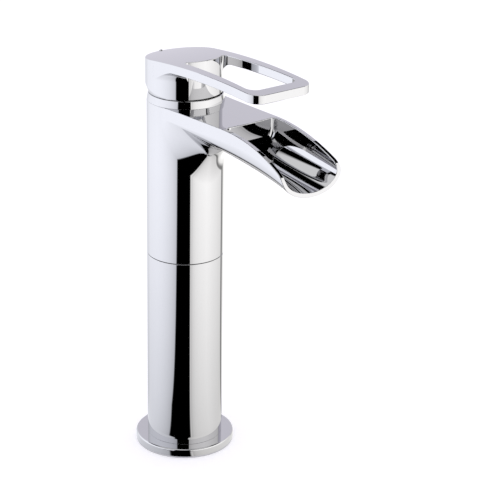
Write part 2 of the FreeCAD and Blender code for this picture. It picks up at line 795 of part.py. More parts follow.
# ---------------------------------------------------------------- build
def build():
    parts = {
        "base_flange": base_flange(),
        "base_gasket": base_gasket(),
        "inlet_block": inlet_block(),
        "inlet_block_o_ring": block_o_ring(),
        "hot_pipe": pipe(pipe_places[0]),
        "cold_pipe": pipe(pipe_places[1]),
        "pipe_o_rings": pipe_o_rings(),
        "tie_bolts": tie_bolts(),
        "lower_column": lower_column(),
        "seam_gasket": seam_gasket(),
        "column_joint_ring": joint_ring(),
        "upper_body": upper_body(),
        "flow_guide": flow_guide(),
        "cartridge_base": cartridge_base(),
        "cartridge_inlet_seals": ring_seals(seat_height),
        "disc_seals": ring_seals(base_top - seal_thickness),
        "fixed_disc": fixed_disc(),
        "moving_disc": moving_disc(),
        "disc_driver": disc_driver(),
        "cartridge_housing": cartridge_housing(),
        "cartridge_o_ring": cartridge_o_ring(),
        "swivel_turret": turret(),
        "turret_o_ring": turret_o_ring(),
        "pivot_pin": pivot_pin(),
        "spindle": spindle(),
        "cartridge_nut": cartridge_nut(),
        "trim_ring": trim_ring(),
        "handle": handle(),
        "grub_screw": grub_screw(),
        "grub_screw_cover": grub_screw_cover(),
    }
    for name, shape in parts.items():
        shape.exportStep("parts/" + name + ".step")
        print(name, "solids", len(shape.Solids), "valid", shape.isValid(), "volume", round(shape.Volume, 1))
    print("pivot height", round(pivot_height, 2), "disc travel", round(disc_travel, 3))
    print("disc travel per radian of lift, in metres", round(disc_travel / lift / 1000, 6))


build()
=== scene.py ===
"""Tall waterfall basin tap with a looped lever.

Metres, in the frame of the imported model: Z is up, the origin is the middle of the foot's
underside, and the spout and the lever point to -Y. "Reach" is the distance forwards from
the column's axis.
"""
import bpy
import math
from mathutils import Matrix, Vector
from mathutils.geometry import delaunay_2d_cdt


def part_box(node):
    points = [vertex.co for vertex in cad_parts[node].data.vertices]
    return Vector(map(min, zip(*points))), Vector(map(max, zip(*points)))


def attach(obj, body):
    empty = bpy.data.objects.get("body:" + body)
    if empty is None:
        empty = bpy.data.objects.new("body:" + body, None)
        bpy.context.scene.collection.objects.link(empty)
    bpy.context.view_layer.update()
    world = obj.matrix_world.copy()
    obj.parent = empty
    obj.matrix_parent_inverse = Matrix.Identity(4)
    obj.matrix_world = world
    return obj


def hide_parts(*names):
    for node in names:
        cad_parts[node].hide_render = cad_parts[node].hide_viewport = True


bl_info = {
    "name": "Waterfall basin tap",
    "version": (1, 0, 0),
    "blender": (4, 5, 0),
    "location": "View3D > Sidebar > Tap",
    "description": "Builds the chromed shells, the finishes and the studio of a tall basin tap",
    "category": "Add Mesh",
}

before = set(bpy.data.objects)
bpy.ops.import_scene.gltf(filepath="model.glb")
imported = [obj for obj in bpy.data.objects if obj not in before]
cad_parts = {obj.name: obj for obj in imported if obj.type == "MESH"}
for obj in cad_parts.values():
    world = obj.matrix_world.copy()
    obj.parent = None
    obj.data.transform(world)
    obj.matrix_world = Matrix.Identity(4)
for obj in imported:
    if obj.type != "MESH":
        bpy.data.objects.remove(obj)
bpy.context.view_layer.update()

MM = 0.001
UP = Vector((0, 0, 1))
QUARTER = math.pi / 2

# fineness of the meshes
RING_STEPS = 256
ROUND_STEPS = 7
SHARP_FROM = math.radians(35)
SAME_PLACE = 4e-7
CELLS_PER_METRE = 1e6
FREE_SPOT_GAP = 0.3 * MM
SOLVER_STEPS = 48


# ------------------------------------------------------------------ sizes and colours
def length(name, description, millimetres):
    """A length property whose default is given in millimetres."""
    return bpy.props.FloatProperty(
        name=name, description=description, default=millimetres * MM, unit="LENGTH", precision=5)


def share(name, description, default):
    """A plain number property."""
    return bpy.props.FloatProperty(name=name, description=description, default=default, precision=4)


def tint(name, description, default):
    """A colour property."""
    return bpy.props.FloatVectorProperty(
        name=name, description=description, default=default, size=3, subtype="COLOR", min=0, max=1)


class ColumnSizes(bpy.types.PropertyGroup):
    """Turned shells of the foot and the column."""
    radius: length("Radius", "Radius of the column", 25.0)
    bore: length("Bore", "Radius of the hollow in the column", 22.0)
    flange_radius: length("Flange radius", "Radius of the foot flange", 32.8)
    flange_height: length("Flange height", "Thickness of the foot flange", 6.1)
    flange_round: length("Flange round", "Round of the flange's upper edge", 1.2)
    flange_bore: length("Flange bore", "Radius of the hole in the flange", 22.2)
    seam: length("Seam height", "Height of the joint between the two halves of the column", 135.7)
    seam_gap: length("Seam gap", "Thickness of the gasket in the joint", 0.4)
    seam_round: length("Seam round", "Round of the metal at the joint", 0.3)
    ring_lower: length("Ring foot radius", "Radius of the trim ring where it meets the deck", 24.95)
    ring_upper: length("Ring top radius", "Radius of the trim ring under the cap", 24.1)
    ring_bore: length("Ring bore", "Inner radius of the trim ring", 23.6)
    ring_height: length("Ring height", "Height of the trim ring", 4.9)
    ring_round: length("Ring round", "Round of the trim ring's upper edge", 0.4)


class SpoutSizes(bpy.types.PropertyGroup):
    """Open spout, its deck and the water slot."""
    deck: length("Deck height", "Height of the deck over the foot's underside", 239.9)
    root_half: length("Root half width", "Half width of the spout at the column", 24.2)
    waist_half: length("Waist half width", "Half width of the spout at its narrowest", 22.1)
    waist_reach: length("Waist reach", "Reach of the narrowest place", 84.0)
    mouth_half: length("Mouth half width", "Half width of the spout at the mouth", 23.5)
    reach: length("Reach", "Reach of the lip", 124.5)
    lip_drop: length("Lip drop", "How far the lip lies below the deck", 30.3)
    mouth_lean: length("Mouth lean", "How far the mouth leans back over its height", 2.6)
    arc_start: length("Rim arc start", "Reach at which the rim starts to fall", 63.0)
    arc_radius: length("Rim arc radius", "Radius of the falling rim", 118.0)
    nose_radius: length("Nose radius", "Radius of the rim's front corner", 11.0)
    slope: share("Underside slope", "Fall of the underside for each unit of reach", 0.145)
    upright: length("Upright", "Height of the straight walls above the bowl, at the root", 7.5)
    side_wall: length("Side wall", "Thickness of the side walls", 3.0)
    floor_wall: length("Floor wall", "Thickness of the trough's floor", 2.5)
    edge: length("Edge round", "Fine round of the rim and the deck", 0.5)
    root_round: length("Root round", "Round between the column and the spout", 30.0)
    apron_reach: length("Apron reach", "Reach of the deck's front edge at its middle", 64.5)
    apron_bow: length("Apron bow", "How far the deck's front edge bows forwards", 2.0)
    apron_low: length("Apron drop", "Depth of the deck's turned-down front edge", 10.8)
    apron_tip: length("Apron tip drop", "Depth at which the corner rounds run out", 15.2)
    apron_round: length("Apron round", "Round between the apron and the walls", 3.0)
    chamber_back: length("Chamber back", "Reach of the chamber's back wall", 24.5)
    seat_bore: length("Seat bore", "Radius of the hollow round the cartridge", 18.5)
    seat_wall: length("Seat wall", "Thickness of the metal below the cartridge", 15.0)


class LeverSizes(bpy.types.PropertyGroup):
    """Cap and loop of the lever."""
    cap_radius: length("Cap radius", "Radius of the cap", 24.6)
    cap_back: length("Cap setback", "How far the cap's middle lies behind the column's axis", 2.0)
    cap_low: length("Cap foot", "Height of the cap's lower edge", 245.0)
    pivot: length("Pivot height", "Height of the tilt pin", 257.4)
    tilt_radius: length("Tilt radius", "Radius of the skirt about the tilt pin", 26.6)
    crown: length("Crown height", "Highest line of the lever", 270.5)
    crown_reach: length("Crown reach", "Reach of the highest line", 45.0)
    crown_radius: length("Crown radius", "Radius of the lever's top face", 500.0)
    loop_reach: length("Loop reach", "Reach of the loop's front", 96.0)
    front_half: length("Loop front half width", "Half width of the loop at its front corners", 23.5)
    corner: length("Loop corner radius", "Radius of the loop's front corners", 9.0)
    thickness: length("Loop thickness", "Thickness of the loop", 5.6)
    front_bar: length("Front bar", "Width of the loop's front bar", 9.0)
    hole_root: length("Hole root half width", "Half width of the hole at the cap's axis", 15.4)
    hole_front: length("Hole front half width", "Half width of the hole at its front corners", 18.3)
    hole_corner: length("Hole corner radius", "Radius of the hole's front corners", 6.5)
    hole_round: length("Hole root radius", "Radius of the hole's corners at the cap", 2.2)
    blend: length("Arm blend", "Round between the cap's wall and the underside of the arms", 7.0)
    edge: length("Edge round", "Fine round of the lever's edges", 0.5)
    hollow_radius: length("Hollow radius", "Radius of the hollow in the cap", 20.9)
    hollow_back: length("Hollow setback", "How far the hollow's middle lies behind the axis", 0.9)
    hollow_roof: length("Hollow roof", "Height of the hollow's roof", 263.7)
    cover_radius: length("Cover radius", "Radius of the grub screw's cover", 2.6)
    cover_rise: length("Cover height", "Height of the grub screw over the pivot", 6.0)
    cover_proud: length("Cover dome", "How far the cover stands out of the cap", 0.25)


class Finishes(bpy.types.PropertyGroup):
    """Colours of the finishes."""
    chrome: tint("Chrome", "Polished chrome", (0.53, 0.53, 0.545))
    brass: tint("Brass", "Raw machined brass", (0.72, 0.53, 0.26))
    copper: tint("Copper", "Copper pipe", (0.76, 0.38, 0.26))
    steel: tint("Steel", "Zinc-plated or bare steel", (0.56, 0.57, 0.58))
    rubber: tint("Rubber", "Black rubber seals", (0.018, 0.018, 0.019))
    plastic: tint("Plastic", "Dark moulded plastic", (0.022, 0.022, 0.024))
    ceramic: tint("Ceramic", "Lapped ceramic discs", (0.83, 0.82, 0.78))


class Studio(bpy.types.PropertyGroup):
    """Camera, floor and light."""
    camera_place: bpy.props.FloatVectorProperty(
        name="Camera place", description="Where the camera stands", size=3, unit="LENGTH",
        default=(-0.6693386, -0.8646116, 0.5723901))
    camera_turn: bpy.props.FloatVectorProperty(
        name="Camera turn", description="Yaw, pitch down and roll of the camera", size=3,
        subtype="EULER", default=(-0.6914754, 0.3736893, -0.0158471))
    focal: share("Focal length", "Focal length over the picture's width", 3.739394)
    azimuth: bpy.props.FloatProperty(
        name="Light azimuth", description="Direction of the dark gap between the soft boxes",
        subtype="ANGLE", default=math.radians(-40))
    cool: tint("Left box", "Colour of the left soft box", (0.93, 0.945, 1.0))
    warm: tint("Right box", "Colour of the right soft box", (1.0, 0.99, 0.965))
    left_level: share("Left level", "Strength of the left soft box", 1.74)
    right_level: share("Right level", "Strength of the right soft box", 1.78)
    sky: tint("Surround", "Colour of the white surround", (1.0, 1.0, 1.0))
    haze: tint("Reflected surround", "Colour of the surround as the metal sees it", (0.90, 0.88, 0.97))
    floor: tint("Floor", "Colour of the pale floor", (0.9, 0.9, 0.9))


# ------------------------------------------------------------------ node building
class Term:
    """A socket that takes part in plain arithmetic."""

    def __init__(self, tree, socket):
        self.tree = tree
        self.socket = socket

    def _math(self, operation, *values):
        return self.tree.node("ShaderNodeMath", {"operation": operation}, *values)

    def __add__(self, other):
        return self._math("ADD", self, other)

    def __radd__(self, other):
        return self._math("ADD", other, self)

    def __sub__(self, other):
        return self._math("SUBTRACT", self, other)

    def __rsub__(self, other):
        return self._math("SUBTRACT", other, self)

    def __mul__(self, other):
        return self._math("MULTIPLY", self, other)

    def __rmul__(self, other):
        return self._math("MULTIPLY", other, self)

    def __truediv__(self, other):
        return self._math("DIVIDE", self, other)

    def __rtruediv__(self, other):
        return self._math("DIVIDE", other, self)

    def __pow__(self, other):
        return self._math("POWER", self, other)

    def above(self, other):
        return self._math("GREATER_THAN", self, other)

    def below(self, other):
        return self._math("LESS_THAN", self, other)

    def clamped(self):
        return self.tree.node("ShaderNodeClamp", {}, self)


class Tree:
    """Adds nodes to a node tree, each from its type, settings and input values."""

    def __init__(self, group):
        self.group = group

    def put(self, socket, value):
        if isinstance(value, Term):
            self.group.links.new(value.socket, socket)
        else:
            socket.default_value = value

    def node(self, kind, settings=None, *values, out=0, **named):
        """One node. Values fill its inputs in order, and named ones go in by name."""
        made = self.group.nodes.new(kind)
        for key, value in (settings or {}).items():
            if key == "stops":
                self._stops(made, value)
            else:
                setattr(made, key, value)
        shown = [socket for socket in made.inputs if socket.enabled]
        for socket, value in zip(shown, values):
            self.put(socket, value)
        for name, value in named.items():
            wanted = name.replace("_", " ")
            self.put(next(s for s in shown if s.name.replace("-", " ") == wanted), value)
        shown_out = [socket for socket in made.outputs if socket.enabled]
        if not shown_out:
            return made
        if isinstance(out, str):
            return Term(self, next(s for s in shown_out if s.name == out))
        return Term(self, shown_out[out])

    def _stops(self, made, stops):
        ramp = made.color_ramp
        while len(ramp.elements) < len(stops):
            ramp.elements.new(1.0)
        for element, (place, value) in zip(ramp.elements, stops):
            element.position = place
            colour = value if isinstance(value, tuple) else (value,) * 3
            element.color = (*colour, 1.0)


    def end(self, kind, value):
        """The output node, fed with a value."""
        self.put(self.group.nodes.new(kind).inputs[0], value)


def shader_tree(owner):
    """A Tree that fills the owner's emptied shader tree."""
    owner.use_nodes = True
    owner.node_tree.nodes.clear()
    return Tree(owner.node_tree)


def new_material(name):
    """A material, its Tree and its place in the piece's own coordinates."""
    material = bpy.data.materials.new(name)
    tree = shader_tree(material)
    return material, tree, tree.node("ShaderNodeTexCoord", out="Object")


def distance(tree, place):
    """X, Y and the distance from the column's axis."""
    x, y = (tree.node("ShaderNodeSeparateXYZ", {}, place, out=axis) for axis in "XY")
    return x, y, (x * x + y * y) ** 0.5


# ------------------------------------------------------------------ mesh building
class Shell:
    """Faces with a true normal at every corner, joined into one mesh."""

    def __init__(self):
        self.places = []
        self.cells = {}
        self.faces = []
        self.normals = []

    def vertex(self, place):
        """Index of the vertex at a place, shared by all faces that meet there."""
        cell = [c * CELLS_PER_METRE for c in place]
        ends = [(math.floor(c), math.floor(c) + 1) for c in cell]
        for x in ends[0]:
            for y in ends[1]:
                for z in ends[2]:
                    found = self.cells.get((x, y, z))
                    if found is not None and (self.places[found] - place).length < SAME_PLACE:
                        return found
        self.cells[tuple(round(c) for c in cell)] = len(self.places)
        self.places.append(Vector(place))
        return len(self.places) - 1

    def face(self, corners):
        """One face from (place, normal) corners, turned to agree with its normals."""
        ring, lights = [], []
        for place, normal in corners:
            index = self.vertex(place)
            if index not in ring:
                ring.append(index)
                lights.append(normal)
        if len(ring) < 3:
            return
        points = [self.places[i] for i in ring]
        area = Vector()
        for a, b in zip(points, points[1:] + points[:1]):
            area += a.cross(b)
        if area.dot(sum(lights, Vector())) < 0:
            ring.reverse()
            lights.reverse()
        self.faces.append(ring)
        self.normals.append(lights)

    def grid(self, rows):
        """Quads between rows of corners of the same length."""
        for low, high in zip(rows, rows[1:]):
            for k in range(len(low) - 1):
                self.face([low[k], low[k + 1], high[k + 1], high[k]])

    def sheet(self, rim, holes, surface, spots):
        """Triangles over a plan outline. surface(x, y) gives a corner for a free spot."""
        corners = list(rim)
        loops = [[(p.x, p.y) for p, _ in rim]]
        edges = [(k, (k + 1) % len(rim)) for k in range(len(rim))]
        for hole in holes:
            start = len(corners)
            corners += hole
            loops.append([(p.x, p.y) for p, _ in hole])
            edges += [(start + k, start + (k + 1) % len(hole)) for k in range(len(hole))]
        for x, y in spots:
            if inside(loops, x, y) and clearance(loops, x, y) > FREE_SPOT_GAP:
                corners.append(surface(x, y))
        plan = [Vector((p.x * 1000, p.y * 1000)) for p, _ in corners]
        found = delaunay_2d_cdt(plan, edges, [], 0, 1e-7)
        points, triangles, sources = found[0], found[2], found[3]
        scaled = [[(x * 1000, y * 1000) for x, y in loop] for loop in loops]
        for triangle in triangles:
            middle = sum((points[i] for i in triangle), Vector((0, 0))) / 3
            if inside(scaled, middle.x, middle.y):
                self.face([corners[sources[i][0]] for i in triangle])

    def mirror(self):
        """Adds the mirror image across the middle plane."""
        for ring, lights in list(zip(self.faces, self.normals)):
            self.face([(flipped(self.places[i]), flipped(n)) for i, n in zip(ring, lights)])

    def piece(self, name, material):
        """The finished object."""
        mesh = bpy.data.meshes.new(name)
        mesh.from_pydata([tuple(p) for p in self.places], [], self.faces)
        mesh.polygons.foreach_set("use_smooth", [True] * len(mesh.polygons))
        mesh.normals_split_custom_set([tuple(n.normalized()) for ring in self.normals for n in ring])
        mesh.materials.append(material)
        return linked(name, mesh)


def flipped(vector):
    return Vector((-vector.x, vector.y, vector.z))


def linked(name, data):
    """A new object of the scene, at the origin."""
    made = bpy.data.objects.new(name, data)
    bpy.context.scene.collection.objects.link(made)
    return made


def inside(loops, x, y):
    """Whether a plan point lies inside an odd number of loops."""
    odd = False
    for loop in loops:
        ax, ay = loop[-1]
        for bx, by in loop:
            if (ay > y) != (by > y) and x < ax + (y - ay) * (bx - ax) / (by - ay):
                odd = not odd
            ax, ay = bx, by
    return odd


def clearance(loops, x, y):
    """Distance from a plan point to the nearest loop corner."""
    return min(math.hypot(x - ax, y - ay) for loop in loops for ax, ay in loop)


def bent_edge(corner, first, second, radius, steps=4):
    """Corners of a small round between two faces with these normals, through an edge point."""
    middle = corner - (first + second) * (radius / (1 + first.dot(second)))
    found = []
    for k in range(steps + 1):
        normal = first.slerp(second, k / steps) if first.dot(second) < 0.99999 else second.copy()
        found.append((middle + normal * radius, normal))
    return found


def arc(x, y, radius, start, end, steps):
    """Points of a plan arc, both ends included, with their outward rays."""
    found = []
    for k in range(steps + 1):
        angle = start + (end - start) * k / steps
        ray = Vector((math.cos(angle), math.sin(angle), 0))
        found.append((x + radius * ray.x, y + radius * ray.y, ray))
    return found


def grid_spots(across, along, columns, first, last, shift=0.0):
    """Free spots of a plan grid over the right half, with its steps in millimetres."""
    return [(k * across * MM, row * along * MM + shift)
            for row in range(first, last) for k in range(1, columns)]


def solved(function, low, high):
    """Where a rising function crosses zero."""
    for _ in range(SOLVER_STEPS):
        middle = (low + high) / 2
        if function(middle) > 0:
            high = middle
        else:
            low = middle
    return (low + high) / 2


def turned_tree(name):
    """Node tree of a turned ring: a rounded profile swept round a circle."""
    group = bpy.data.node_groups.new(name, "GeometryNodeTree")
    face = group.interface
    face.new_socket("Ring", in_out="OUTPUT", socket_type="NodeSocketGeometry")
    for label in ("Bore", "Lower radius", "Upper radius", "Bottom", "Top", "Lower round", "Upper round"):
        face.new_socket(label, in_out="INPUT", socket_type="NodeSocketFloat")
    face.new_socket("Steps", in_out="INPUT", socket_type="NodeSocketInt")
    face.new_socket("Finish", in_out="INPUT", socket_type="NodeSocketMaterial")
    tree = Tree(group)
    entry = group.nodes.new("NodeGroupInput")
    given = {socket.name: Term(tree, socket) for socket in entry.outputs if socket.name}
    bore = given["Bore"]
    top = 0 - given["Top"]
    bottom = 0 - given["Bottom"]
    spots = [(0.0, top), (given["Upper radius"] - bore, top),
             (given["Lower radius"] - bore, bottom), (0.0, bottom)]
    points = {f"Point_{k + 1}": tree.node("ShaderNodeCombineXYZ", {}, *spot) for k, spot in enumerate(spots)}
    outline = tree.node("GeometryNodeCurvePrimitiveQuadrilateral", {"mode": "POINTS"}, **points)
    index = tree.node("GeometryNodeInputIndex")
    at_top = index.above(0.5) * index.below(1.5)
    at_foot = index.above(1.5) * index.below(2.5)
    rounds = at_top * given["Upper round"] + at_foot * given["Lower round"]
    outline = tree.node("GeometryNodeFilletCurve", {"mode": "POLY"}, outline, ROUND_STEPS, rounds, True)
    path = tree.node("GeometryNodeCurvePrimitiveCircle", {"mode": "RADIUS"}, given["Steps"], Radius=bore)
    ring = tree.node("GeometryNodeCurveToMesh", {}, path, outline)
    ring = tree.node("GeometryNodeRealizeInstances", {}, ring)
    ring = tree.node("GeometryNodeSetMaterial", {}, ring, Material=given["Finish"])
    tree.end("NodeGroupOutput", ring)
    return group


def turned_piece(name, material, **sizes):
    """A ring made by the turned tree, as a plain mesh with weighted normals."""
    group = bpy.data.node_groups.get("turned ring") or turned_tree("turned ring")
    made = linked(name, bpy.data.meshes.new(name))
    ring = made.modifiers.new("ring", "NODES")
    ring.node_group = group
    values = {key.replace("_", " "): value for key, value in sizes.items()}
    values.update({"steps": RING_STEPS, "finish": material})
    for item in group.interface.items_tree:
        if item.in_out == "INPUT":
            ring[item.identifier] = values[item.name.lower()]
    mesh = settled(made)
    mesh.polygons.foreach_set("use_smooth", [True] * len(mesh.polygons))
    mesh.set_sharp_from_angle(angle=SHARP_FROM)
    weighted = made.modifiers.new("weighted", "WEIGHTED_NORMAL")
    weighted.keep_sharp = True
    settled(made)
    return made


def settled(made):
    """Turns an object's live modifiers into its mesh."""
    graph = bpy.context.evaluated_depsgraph_get()
    mesh = bpy.data.meshes.new_from_object(made.evaluated_get(graph), depsgraph=graph)
    mesh.name = made.name
    made.modifiers.clear()
    made.data = mesh
    return mesh


# ------------------------------------------------------------------ spout
# a bowl's quarter ellipse against the quarter circle of its width
BOWL_LENGTH = 0.85
# steps between which slopes are measured, in metres and in turn
REACH_STEP = 2e-5
HEIGHT_STEP = 1e-5
TURN_STEP = 0.002
PART_STEP = 1e-3
# rounds of a search that closes in by itself
SETTLING_ROUNDS = 12
# lines crowd towards the rim, and the root round's normals level out just below it
LINE_CROWDING = 1.4
RIM_LEVELLING = 24
# how fast the apron's foot sinks towards the corner rounds
APRON_SINK = 1.3
SKIN_LINES, SKIN_STATIONS = 56, 112
ROLL_STEPS = 24
BACK_STEPS = 72
CHAMBER_STEPS = 24
BORE_STEPS = 48
NUT_CLEARANCE = 0.05 * MM
NUT_SINK = 0.2 * MM
ROOT_SEARCH = (2 * MM, 80 * MM)
APRON_SEARCH = (0.016, 0.066)


class SpoutForm:
    """Curves of the spout. "Turn" runs round the bowl from the right rim to the middle."""

    def __init__(self, sizes):
        self.s = sizes
        s = sizes
        self.lip = s.deck - s.lip_drop
        lean = Vector((-s.mouth_lean, self.rim(s.reach) - self.lip))
        lean.normalize()
        self.mouth_out = Vector((lean.y, -lean.x))
        self.foot = Vector((s.reach, self.lip))
        swing = s.arc_radius - s.nose_radius
        middle = Vector((s.arc_start, s.deck - s.arc_radius))

        def beyond(angle):
            spot = middle + swing * Vector((math.sin(angle), math.cos(angle)))
            return (spot - self.foot).dot(self.mouth_out) + s.nose_radius

        angle = solved(beyond, 0.0, 1.0)
        self.nose_up = Vector((math.sin(angle), math.cos(angle)))
        self.nose = middle + swing * self.nose_up

    def underside(self, reach):
        return self.lip + self.s.slope * (self.s.reach - reach)

    def rim(self, reach, inset=0.0):
        past = max(0.0, reach - self.s.arc_start)
        radius = self.s.arc_radius
        return self.s.deck - radius + math.sqrt((radius - inset) ** 2 - past ** 2)

    def half(self, reach):
        s = self.s
        along = reach / s.waist_reach - 1
        end = s.root_half if along < 0 else s.mouth_half
        span = 1 if along < 0 else s.reach / s.waist_reach - 1
        return s.waist_half + (end - s.waist_half) * (along / span) ** 2

    def upright(self, reach):
        """Height of the straight walls above the bowl. They run out at the mouth."""
        return self.s.upright * max(0.0, 1 - (reach / self.s.reach) ** 4)

    def depth(self, reach, floor=0.0):
        """Depth of the bowl below the straight walls."""
        return self.rim(min(reach, self.s.reach)) - self.upright(reach) - self.underside(reach) - floor

    def bend(self, reach):
        """Turn at which the straight wall passes into the bowl."""
        upright = self.upright(reach)
        return QUARTER * upright / (upright + QUARTER * self.half(reach) * BOWL_LENGTH)

    def skin(self, reach, turn, wall=0.0, floor=0.0):
        """Point of the outer skin, or of the trough where walls are given."""
        bend = self.bend(reach)
        upright = self.upright(reach)
        width = self.half(reach) - wall
        if turn < bend:
            return Vector((width, -reach, self.rim(reach) - upright * turn / bend))
        angle = QUARTER * (turn - bend) / (QUARTER - bend)
        low = self.rim(reach) - upright - self.depth(reach, floor) * math.sin(angle)
        return Vector((width * math.cos(angle), -reach, low))

    def light(self, reach, turn, wall=0.0, floor=0.0):
        """Normal of that skin: outwards, or into the trough where walls are given."""
        d, t = REACH_STEP, TURN_STEP
        along = self.skin(reach + d, turn, wall, floor) - self.skin(reach - d, turn, wall, floor)
        across = self.skin(reach, turn + t, wall, floor) - self.skin(reach, turn - t, wall, floor)
        normal = along.cross(across).normalized()
        out = Vector((math.cos(turn), 0, -math.sin(turn)))
        if normal.dot(out) < 0:
            normal.negate()
        if turn > QUARTER - 1e-9:
            normal.x = 0.0
        return -normal if wall else normal

    def rim_turn(self, reach, inset, floor=0.0):
        """Turn at which the rim, drawn in by the inset, cuts the skin."""
        drop = self.rim(reach) - self.rim(reach, inset)
        upright = self.upright(reach)
        bend = self.bend(reach)
        if drop < upright:
            return bend * max(0.0, drop) / upright
        angle = math.asin(max(0.0, drop - upright) / self.depth(reach, floor))
        return bend + (QUARTER - bend) * angle / QUARTER

    def beyond(self, reach, height, inset):
        """Above zero past the front outline, drawn in by the inset."""
        spot = Vector((reach, height))
        away = spot - self.nose
        forward = Vector((self.nose_up.y, -self.nose_up.x))
        if away.dot(forward) < 0:
            return -1.0
        climb = Vector((-self.mouth_out.y, self.mouth_out.x))
        if away.dot(climb) > 0:
            return away.length - (self.s.nose_radius - inset)
        return (spot - self.foot).dot(self.mouth_out) + inset

    def outline_normal(self, reach, height):
        """Normal of the side outline: of the rim, the nose or the mouth."""
        away = Vector((reach, height)) - self.nose
        forward = Vector((self.nose_up.y, -self.nose_up.x))
        climb = Vector((-self.mouth_out.y, self.mouth_out.x))
        if away.dot(forward) <= 1e-9:
            past = max(0.0, reach - self.s.arc_start) / self.s.arc_radius
            flat = Vector((past, math.sqrt(1 - past * past)))
        elif away.dot(climb) > 0:
            flat = away.normalized()
        else:
            flat = self.mouth_out
        return Vector((0, -flat.x, flat.y))

    def line_turn(self, part, reach, inset, floor=0.0):
        """Turn of a lengthwise line, from the rim (part 0) to the middle (part 1)."""
        start = self.rim_turn(reach, inset, floor)
        return start + (QUARTER - start) * part

    def line_end(self, part, inset, wall=0.0, floor=0.0):
        """Reach at which a lengthwise line meets the front outline."""

        def past(reach):
            spot = self.skin(reach, self.line_turn(part, reach, inset, floor), wall, floor)
            return self.beyond(reach, spot.z, inset)

        return solved(past, 0.1, self.s.reach + 1 * MM)

    def line_corner(self, part, reach, inset, wall=0.0, floor=0.0):
        turn = self.line_turn(part, reach, inset, floor)
        return self.skin(reach, turn, wall, floor), self.light(reach, turn, wall, floor)


class ApronForm:
    """Deck's turned-down front edge and its rounds against the trough's walls."""

    def __init__(self, form):
        self.form = form
        s = form.s
        half = s.root_half + 1 * MM
        self.bow_radius = (half ** 2 + s.apron_bow ** 2) / (2 * s.apron_bow)

    def bow(self, x):
        s = self.form.s
        return s.apron_reach - self.bow_radius + math.sqrt(self.bow_radius ** 2 - x * x)

    def bow_normal(self, x):
        lean = x / self.bow_radius
        return Vector((lean, -math.sqrt(1 - lean * lean), 0))

    def wall_x(self, reach, height):
        form = self.form
        s = form.s
        drop = form.rim(reach) - form.upright(reach) - height
        sine = min(1.0, max(0.0, drop / form.depth(reach, s.floor_wall)))
        return (form.half(reach) - s.side_wall) * math.sqrt(1 - sine * sine)

    def round_middle(self, height):
        """Plan centre of the corner round at a height: x and reach."""
        radius = self.form.s.apron_round
        x, reach = APRON_SEARCH
        for _ in range(SETTLING_ROUNDS):
            x = self.wall_x(reach, height) - radius
            normal = self.bow_normal(x)
            touch = x - radius * normal.x
            reach = self.bow(touch) - radius * normal.y
        return x, reach

    def spot(self, part, height):
        """Point of the apron's face: part 0 to 1 is the corner round, 1 to 2 is the bow."""
        radius = self.form.s.apron_round
        x, reach = self.round_middle(height)
        normal = self.bow_normal(x)
        if part <= 1:
            end = math.atan2(-normal.y, normal.x) + math.pi
            angle = 2 * math.pi + (end - 2 * math.pi) * part
            return Vector((x + radius * math.cos(angle), -(reach + radius * math.sin(angle)), height))
        touch = (x - radius * normal.x) * (2 - part)
        return Vector((touch, -self.bow(touch), height))

    def corner(self, part, height):
        if part > 1:
            spot = self.spot(part, height)
            return spot, self.bow_normal(spot.x)
        low, high = max(0.0, part - PART_STEP), min(1.0, part + PART_STEP)
        along = self.spot(high, height) - self.spot(low, height)
        upward = self.spot(part, height + HEIGHT_STEP) - self.spot(part, height - HEIGHT_STEP)
        normal = along.cross(upward).normalized()
        spot = self.spot(part, height)
        if normal.dot(Vector((-1, -1, 0))) < 0:
            normal.negate()
        return spot, normal


def circle_corner(radius, angle, height):
    """Corner on an upright cylinder. The angle runs from the front (0) to the back (pi)."""
    normal = Vector((math.sin(angle), -math.cos(angle), 0))
    return Vector((normal.x * radius, normal.y * radius, height)), normal


